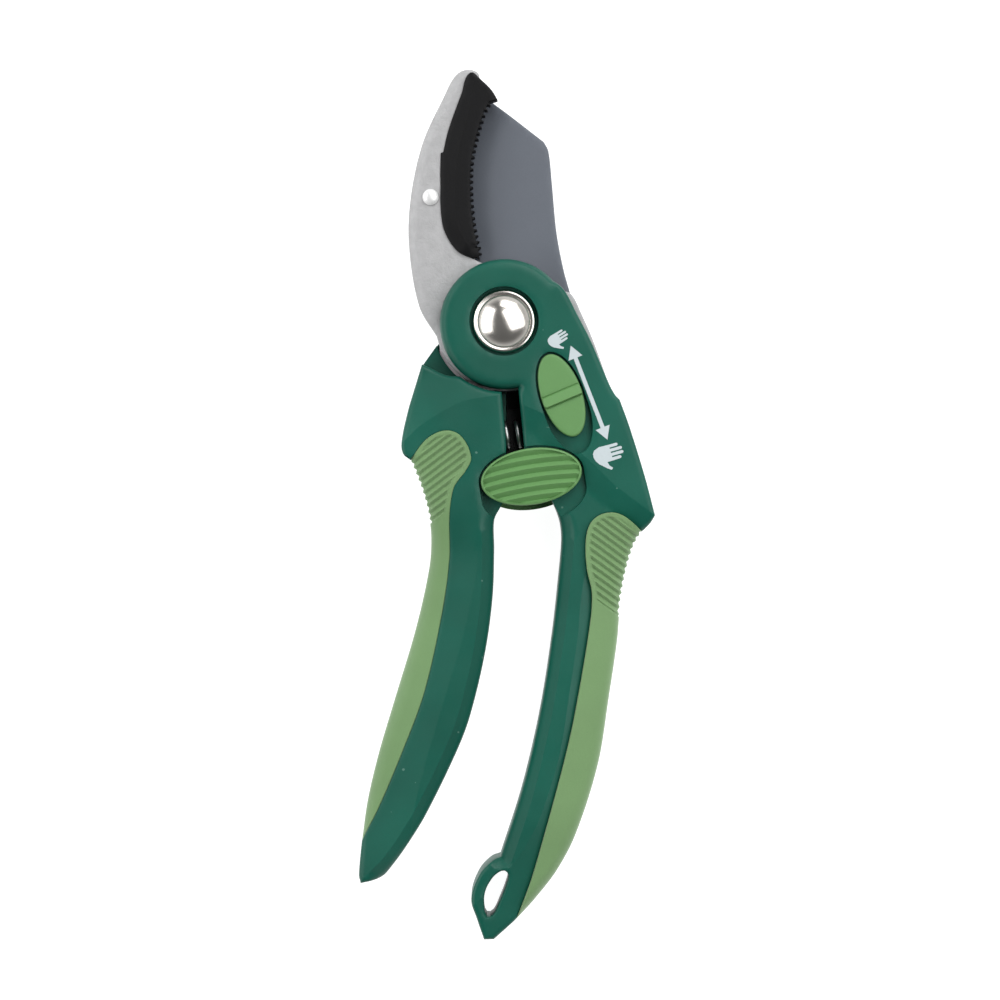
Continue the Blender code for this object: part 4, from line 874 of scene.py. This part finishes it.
teeth_line = sampled([corner(-6.4, 14.5)] + PAD_TEETH, closed=False, length=0.1)
steps = [0.0]
for a, b in zip(teeth_line, teeth_line[1:]):
    steps.append(steps[-1] + math.dist(a, b))
tooth_count = round(steps[-1] / TOOTH_PITCH)
toothed = []
for (x, y), (nx, ny), at in zip(teeth_line, teeth_line[1:] + teeth_line[-1:], steps):
    way = Vector((nx - x, ny - y)).normalized() if (nx, ny) != (x, y) else Vector((0, 1))
    share = (at / steps[-1] * tooth_count) % 1.0
    bite = TOOTH_DEPTH * float(smooth(np.array([abs(share - 0.5)]), 0.10, 0.24)[0])
    toothed.append((x - way.y * bite, y + way.x * bite))
toothed = toothed[::2] + toothed[-1:]
pad = traced(PAD_TOP + PAD_BACK)[:-1] + toothed
pad_crease = traced(
    [(-7.2, 57.6), (-7.4, 53.5), (-9.2, 46.0), (-10.8, 40.0), (-11.5, 33.0), (-11.2, 24.0), (-8.6, 17.8)])
pad_right = pad_crease + [(20.0, 16.0), (20.0, 60.0)]


def pad_top(points):
    slope = np.where(within(points, pad_right), 0.03, 0.27)
    return PAD_FRONT - away(points, pad_crease) * slope - edge(points, pad, 0.3)


def pad_low(points):
    return np.where(within(points, jaw_room), HEAD_BACK - 0.1, JAW_BACK)


made = relief("serrated_pad_body", pad, pad_top, pad_low, RIGHT, BLACK, lines=[pad_crease],
              step=0.8, rings=(0.12, 0.3))
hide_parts("serrated_pad")

blade_edge_line = traced(BLADE_EDGE)


def blade_top(points):
    reach = away(points, blade_edge_line)
    ground = np.clip(1 - reach / GRIND_WIDTH, 0, 1) ** 2 * GRIND_DEPTH * (points[:, 1] > 10.0)
    return BLADE_FRONT - ground - edge(points, blade, 0.3)


def blade_low(points):
    return BLADE_BACK + edge(points, blade, 0.3)


made = relief("cutting_blade_body", blade, blade_top, blade_low, LEFT, COATED,
              holes=[circle(BORE)], rings=(0.12, 0.35))
# The tang below the head gets its own steel tone, painted lighter as painted light for the shaded gap between
# the covers and the hub.
recolour(made, TANG_WITH_PAINTED_LIGHT, lambda p: (p[:, 1] < -3.0) & (p[:, 0] < 12.0))
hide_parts("cutting_blade")

rivet_profile = [(0, 15.5), (0.7, 15.45), (1.3, 15.25), (1.7, 14.95), (1.9, 14.75), (1.9, 14.45), (1.0, 14.45),
                 (1.0, 10.5), (1.9, 10.5), (1.8, 10.2), (1.3, 9.8), (0, 9.7)]
made = turned("pad_rivet_body", rivet_profile, -17.3, 29.4, RIGHT, BRIGHT, steps=40)
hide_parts("pad_rivet")


# ---------------- pivot

DOME = 9.1
dome = [(DOME * math.sin(math.radians(a)), 12.5 + DOME * math.cos(math.radians(a))) for a in range(0, 43, 3)]
bolt = dome + [(6.2, 18.9), (6.4, 18.95), (6.75, 19.0), (7.05, 18.9), (7.3, 18.6), (7.45, 18.2), (7.5, 17.8),
               (7.5, 17.5), (3.5, 17.5), (3.5, 1.7), (0, 1.7)]
made = turned("pivot_bolt_body", bolt, 0, 0, RIGHT, CHROME, steps=96)
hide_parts("pivot_bolt")

NUT_RADIUS, HEXAGON = 7.0, 6.2
hexagon = sampled([corner(HEXAGON * math.cos(math.radians(a)), HEXAGON * math.sin(math.radians(a)))
                   for a in range(0, 360, 60)])


def nut_low(points):
    """A hexagon with chamfered corners and a turned ring, on a round flange."""
    reach = from_pivot(points)
    hexed = np.clip(reach - 5.3, 0, 9) * 0.45 + np.where(np.abs(reach - 3.6) < 0.25, 0.35, 0.0)
    return np.where(within(points, hexagon), hexed, 2.6 + rounding(NUT_RADIUS - reach, 0.5))


made = relief("pivot_nut_body", circle(NUT_RADIUS), level(NUT_TOP), nut_low, RIGHT, STEEL,
              loops=[hexagon, circle(3.35), circle(3.85)], step=0.6, rings=(0.15, 0.4))
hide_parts("pivot_nut")


# ---------------- screws

def screw(name, x, y, head, head_low, head_high, tip, shank, body, turn):
    """A pan-head screw with a cross recess, head towards the back. head and shank are radii."""
    def high(points):
        return np.where(np.hypot(points[:, 0] - x, points[:, 1] - y) < shank, tip, head_high)

    def low(points):
        u = (points[:, 0] - x) * math.cos(turn) + (points[:, 1] - y) * math.sin(turn)
        v = (points[:, 1] - y) * math.cos(turn) - (points[:, 0] - x) * math.sin(turn)
        cross = within(np.column_stack([u, v]), plus)
        return head_low + rounding(head - np.hypot(u, v), 0.5) + np.where(cross, 0.9, 0.0)

    half, width = head * 0.55, head * 0.13
    plus = [(half, -width), (half, width), (width, width), (width, half), (-width, half), (-width, width),
            (-half, width), (-half, -width), (-width, -width), (-width, -half), (width, -half), (width, -width)]
    placed = [rotated(u, v, turn, x, y) for u, v in plus]
    made = relief(name + "_body", circle(head, x, y, 40), high, low, body, STEEL,
                  loops=[placed, circle(shank, x, y, 20)], step=0.5, rings=(0.12, 0.3))
    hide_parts(name)


for side, body, places in (("left", LEFT, LEFT_SCREWS), ("right", RIGHT, RIGHT_SCREWS)):
    for number, (x, y) in enumerate(places, 1):
        screw(f"{side}_screw_{number}", x, y, head=2.7, head_low=0.3, head_high=2.1, tip=16.0, shank=1.3,
              body=body, turn=0.7 * number)
screw("lock_screw", *LOCK_SCREW, head=1.9, head_low=0.4, head_high=1.3, tip=16.8, shank=1.0, body=LOCK,
      turn=0.5)


# ---------------- lock and selector

RIDGE_HEIGHT, RIDGE_PITCH, RIDGE_TURN, RIDGE_START, RIDGE_BOW = 0.85, 2.1, 0.45, 0.1, 0.006
BUTTON_EDGE = 0.45

lock_oval = ellipse(*LOCK_CENTRE, LOCK_LONG, LOCK_SHORT, LOCK_TILT)
rear_lock_oval = ellipse(*REAR_LOCK_CENTRE, LOCK_LONG, LOCK_SHORT, LOCK_TILT)
screw_seat = circle(2.2, *LOCK_SCREW, 40)


def ridges(points, centre, oval):
    """How far a lock button's face drops between its bowed ridges."""
    turn = math.radians(LOCK_TILT)
    along = (points[:, 0] - centre[0]) * math.cos(turn) + (points[:, 1] - centre[1]) * math.sin(turn)
    across = (points[:, 1] - centre[1]) * math.cos(turn) - (points[:, 0] - centre[0]) * math.sin(turn)
    wave = saw((across + RIDGE_BOW * along ** 2) / RIDGE_PITCH + RIDGE_START, RIDGE_TURN)
    return RIDGE_HEIGHT * wave * smooth(away(points, oval, closed=True), 0.45, 0.6)


def ridge_lines(centre, oval):
    result = []
    for number in range(-5, 6):
        for share in (0.0, 0.23, RIDGE_TURN, 0.72):
            place = (number + share - RIDGE_START) * RIDGE_PITCH
            run = [rotated(along, place - RIDGE_BOW * along ** 2, math.radians(LOCK_TILT), *centre)
                   for along in np.arange(-11.5, 11.6, 0.6)]
            spots = np.array(run)
            good = within(spots, oval) & (away(spots, oval, closed=True) > 0.7)
            kept = [p for p, g in zip(run, good) if g]
            if len(kept) > 1:
                result.append(kept)
    return result


def lock_front_top(points):
    drop = ridges(points, LOCK_CENTRE, lock_oval)
    crown = 0.0035 * ((points[:, 0] - LOCK_CENTRE[0]) ** 2)
    return LOCK_FRONT - drop - edge(points, lock_oval, BUTTON_EDGE) - crown


def lock_rear_low(points):
    drop = ridges(points, REAR_LOCK_CENTRE, rear_lock_oval) + edge(points, rear_lock_oval, BUTTON_EDGE)
    return np.maximum(drop, pocket(points, screw_seat, 1.6, 0.2))


made = relief("lock_button_front_body", lock_oval, lock_front_top, level(LOCK_MIDDLE), LOCK, BUTTON,
              lines=ridge_lines(LOCK_CENTRE, lock_oval), step=0.7,
              rings=(0.12, 0.45, 0.6), sharp=40)
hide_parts("lock_button_front")
made = relief("lock_button_rear_body", rear_lock_oval, level(LOCK_REAR_TOP), lock_rear_low, LOCK, BUTTON,
              loops=[screw_seat], step=0.5, rings=(0.12, 0.45, 0.6), sharp=40)
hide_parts("lock_button_rear")

BAND_CENTRE, BAND_ANGLE = (13.6, -17.5), math.radians(23)
BAND_LOW, BAND_HIGH = (-1.35, -1.15), (0.95, 1.15)
GROOVE_DEPTH, GROOVE_WIDTH, GROOVES = 0.3, 0.16, (1.25, -1.45)

selector_oval = ellipse(*SELECTOR_CENTRE, SELECTOR_LONG, SELECTOR_SHORT, SELECTOR_TILT)
band_lines = [[rotated(along, offset, BAND_ANGLE, *BAND_CENTRE) for along in np.arange(-4.4, 4.5, 0.55)]
              for offset in (-1.65, -1.45, *BAND_LOW, *BAND_HIGH, 1.25, 1.45)]


def selector_top(points):
    """A face that leans down to both ends, with a raised, tilted band between two grooves."""
    across = ((points[:, 1] - BAND_CENTRE[1]) * math.cos(BAND_ANGLE)
              - (points[:, 0] - BAND_CENTRE[0]) * math.sin(BAND_ANGLE))
    band = smooth(across, *BAND_LOW) * (1 - smooth(across, *BAND_HIGH))
    groove = GROOVE_DEPTH * sum(np.exp(-((across - place) / GROOVE_WIDTH) ** 2) for place in GROOVES)
    lean = np.where(across > 0, 0.03, 0.02) * np.abs(across)
    return SELECTOR_FRONT - lean - groove + (0.36 - 0.28 * across) * band - edge(points, selector_oval, 0.5)


made = relief("selector_button_body", selector_oval, selector_top, level(SELECTOR_BACK), SELECTOR, BUTTON,
              lines=band_lines, step=0.7, rings=(0.12, 0.3, 0.55), sharp=30)
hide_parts("selector_button")


# ---------------- return spring

WIRE, COIL, TURNS = 0.6, 2.9, 6
TURN_STEPS, WIRE_SIDES = 28, 10
SPRING_END, SPRING_Y, SPRING_Z = 8.1, -26.5, (BLADE_FRONT + JAW_BACK) / 2

count = TURNS * TURN_STEPS
centres = []
for index in range(count + 1):
    angle = 2 * math.pi * index / TURN_STEPS
    centres.append(Vector((-SPRING_END + 2 * SPRING_END * index / count, SPRING_Y + COIL * math.cos(angle),
                           SPRING_Z + COIL * math.sin(angle))))
coil = bmesh.new()
rings = []
for index, centre in enumerate(centres):
    way = (centres[min(index + 1, count)] - centres[max(index - 1, 0)]).normalized()
    out = Vector((0, centre.y - SPRING_Y, centre.z - SPRING_Z)).normalized()
    side = way.cross(out).normalized()
    out = side.cross(way)
    rings.append([coil.verts.new((centre + (out * math.cos(a) + side * math.sin(a)) * WIRE) * MM)
                  for a in (math.radians(360 / WIRE_SIDES * k) for k in range(WIRE_SIDES))])
for upper, lower in zip(rings, rings[1:]):
    for k in range(WIRE_SIDES):
        after = (k + 1) % WIRE_SIDES
        coil.faces.new((upper[k], upper[after], lower[after], lower[k]))
coil.faces.new(rings[0][::-1])
coil.faces.new(rings[-1])
spring = linked("return_spring_coil", smooth_mesh("return_spring_coil", coil))
spring.data.materials.append(STEEL)
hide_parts("return_spring")
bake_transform(spring)


# ---------------- printed signs

def hand(x, y, size, turn):
    """A generic open hand, fingers first along +Y, then turned."""
    shape = [(0.25, -0.06), (0.5, 0.1), (0.86, 0.5), (1.02, 0.72), (0.93, 0.84), (0.72, 0.66), (0.5, 0.6),
             (0.5, 0.88)]
    finger, gap, knuckle = 0.09, 0.17, 0.96
    for middle, tip in ((0.39, 1.42), (0.13, 1.62), (-0.13, 1.6), (-0.39, 1.4)):
        for angle in range(0, 181, 45):
            around = math.radians(angle)
            shape.append((middle + finger * math.cos(around), tip + finger * math.sin(around)))
        shape.append((middle - finger, knuckle))
        shape.append((middle - gap, knuckle))
    shape = shape[:-2] + [(-0.48, 0.9), (-0.5, 0.35), (-0.38, 0.02), (-0.2, -0.1), (0.05, -0.12)]
    turn = math.radians(turn)
    return [(x + size * (u * math.cos(turn) - v * math.sin(turn)),
             y + size * (u * math.sin(turn) + v * math.cos(turn))) for u, v in shape]


def arrow(start, end, shaft, head_length, head_width):
    """A line with an arrowhead at each end."""
    a, b = Vector(start), Vector(end)
    way = (b - a).normalized()
    out = Vector((-way.y, way.x))
    near, far = a + way * head_length, b - way * head_length
    head, line = out * head_width / 2, out * shaft / 2
    return [tuple(c) for c in (a, near + head, near + line, far + line, far + head,
                               b, far - head, far - line, near - line, near - head)]


for name, outline in (
        ("print_small_hand", hand(10.75, -5.2, 2.75, -58)),
        ("print_large_hand", hand(21.4, -31.8, 3.9, -74)),
        ("print_arrow", arrow((15.6, -5.8), (24.2, -27.8), 0.95, 3.1, 3.5))):
    relief(name, outline, level(PRINT_FRONT), level(PRINT_BACK), RIGHT, PRINT, step=2.0,
           rings=())


# ---------------- small parts kept from the CAD

for node, look in (
        ("pivot_bush", STEEL), ("pivot_washer", STEEL), ("lock_plate", STEEL), ("lock_detent_spring", STEEL),
        ("selector_stop", STEEL), ("selector_screw", STEEL), ("selector_detent_spring", STEEL),
        ("spring_peg_left", BLACK), ("spring_peg_right", BLACK)):
    repaint(node, look)


# ---------------- stage, light and camera

FLOOR, FLOOR_Z = 8.0, -0.0004
CAMERA_HEIGHT, LENS, SENSOR = 0.9, 135.4, 36.0
CENTRE = Vector((-0.00094, -0.0419, 0.0))

floor_mesh = bpy.data.meshes.new("floor")
floor_mesh.from_pydata([(-FLOOR, -FLOOR, FLOOR_Z), (FLOOR, -FLOOR, FLOOR_Z), (FLOOR, FLOOR, FLOOR_Z),
                        (-FLOOR, FLOOR, FLOOR_Z)], [], [(0, 1, 2, 3)])
floor = linked("floor", floor_mesh)
pale = bpy.data.materials.new("pale_floor")
pale.use_nodes = True
for key, value in (("Base Color", (0.35, 0.35, 0.35, 1)), ("Roughness", 0.9), ("Specular IOR Level", 0.1),
                   ("Emission Color", (1, 1, 1, 1)), ("Emission Strength", 0.96)):
    pale.node_tree.nodes["Principled BSDF"].inputs[key].default_value = value
floor_mesh.materials.append(pale)

# White at the horizon, as the floor, and darker overhead, so that the softboxes shape the part.
world = bpy.data.worlds.new("studio")
bpy.context.scene.world = world
world.use_nodes = True
sky = world.node_tree
place = sky.nodes.new("ShaderNodeTexCoord")
split = sky.nodes.new("ShaderNodeSeparateXYZ")
ramp = sky.nodes.new("ShaderNodeMapRange")
sky.links.new(place.outputs["Generated"], split.inputs["Vector"])
sky.links.new(split.outputs["Z"], ramp.inputs["Value"])
for key, value in (("From Min", 0.03), ("From Max", 0.45), ("To Min", 1.05), ("To Max", 0.12)):
    ramp.inputs[key].default_value = value
sky.links.new(ramp.outputs["Result"], sky.nodes["Background"].inputs["Strength"])
sky.nodes["Background"].inputs["Color"].default_value = (1, 1, 1, 1)


def softbox(name, place, size, power):
    light = bpy.data.lights.new(name, "AREA")
    light.shape = "RECTANGLE"
    light.size, light.size_y = size
    light.energy = power
    made = linked(name, light)
    made.location = place
    made.rotation_euler = (CENTRE - Vector(place)).to_track_quat("-Z", "Y").to_euler()


softbox("key_right", (0.6, 0.25, 0.95), (1.5, 1.1), 13.0)
softbox("fill_left", (-0.9, 0.1, 0.7), (1.5, 0.7), 9.5)
softbox("back_right", (0.25, 0.95, 0.7), (0.8, 0.4), 5.0)

camera_data = bpy.data.cameras.new("camera")
camera_data.sensor_width = SENSOR
camera_data.lens = LENS
camera = linked("camera", camera_data)
camera.location = (CENTRE.x, CENTRE.y, CAMERA_HEIGHT)
bpy.context.scene.camera = camera
bpy.context.scene.view_settings.view_transform = "Standard"
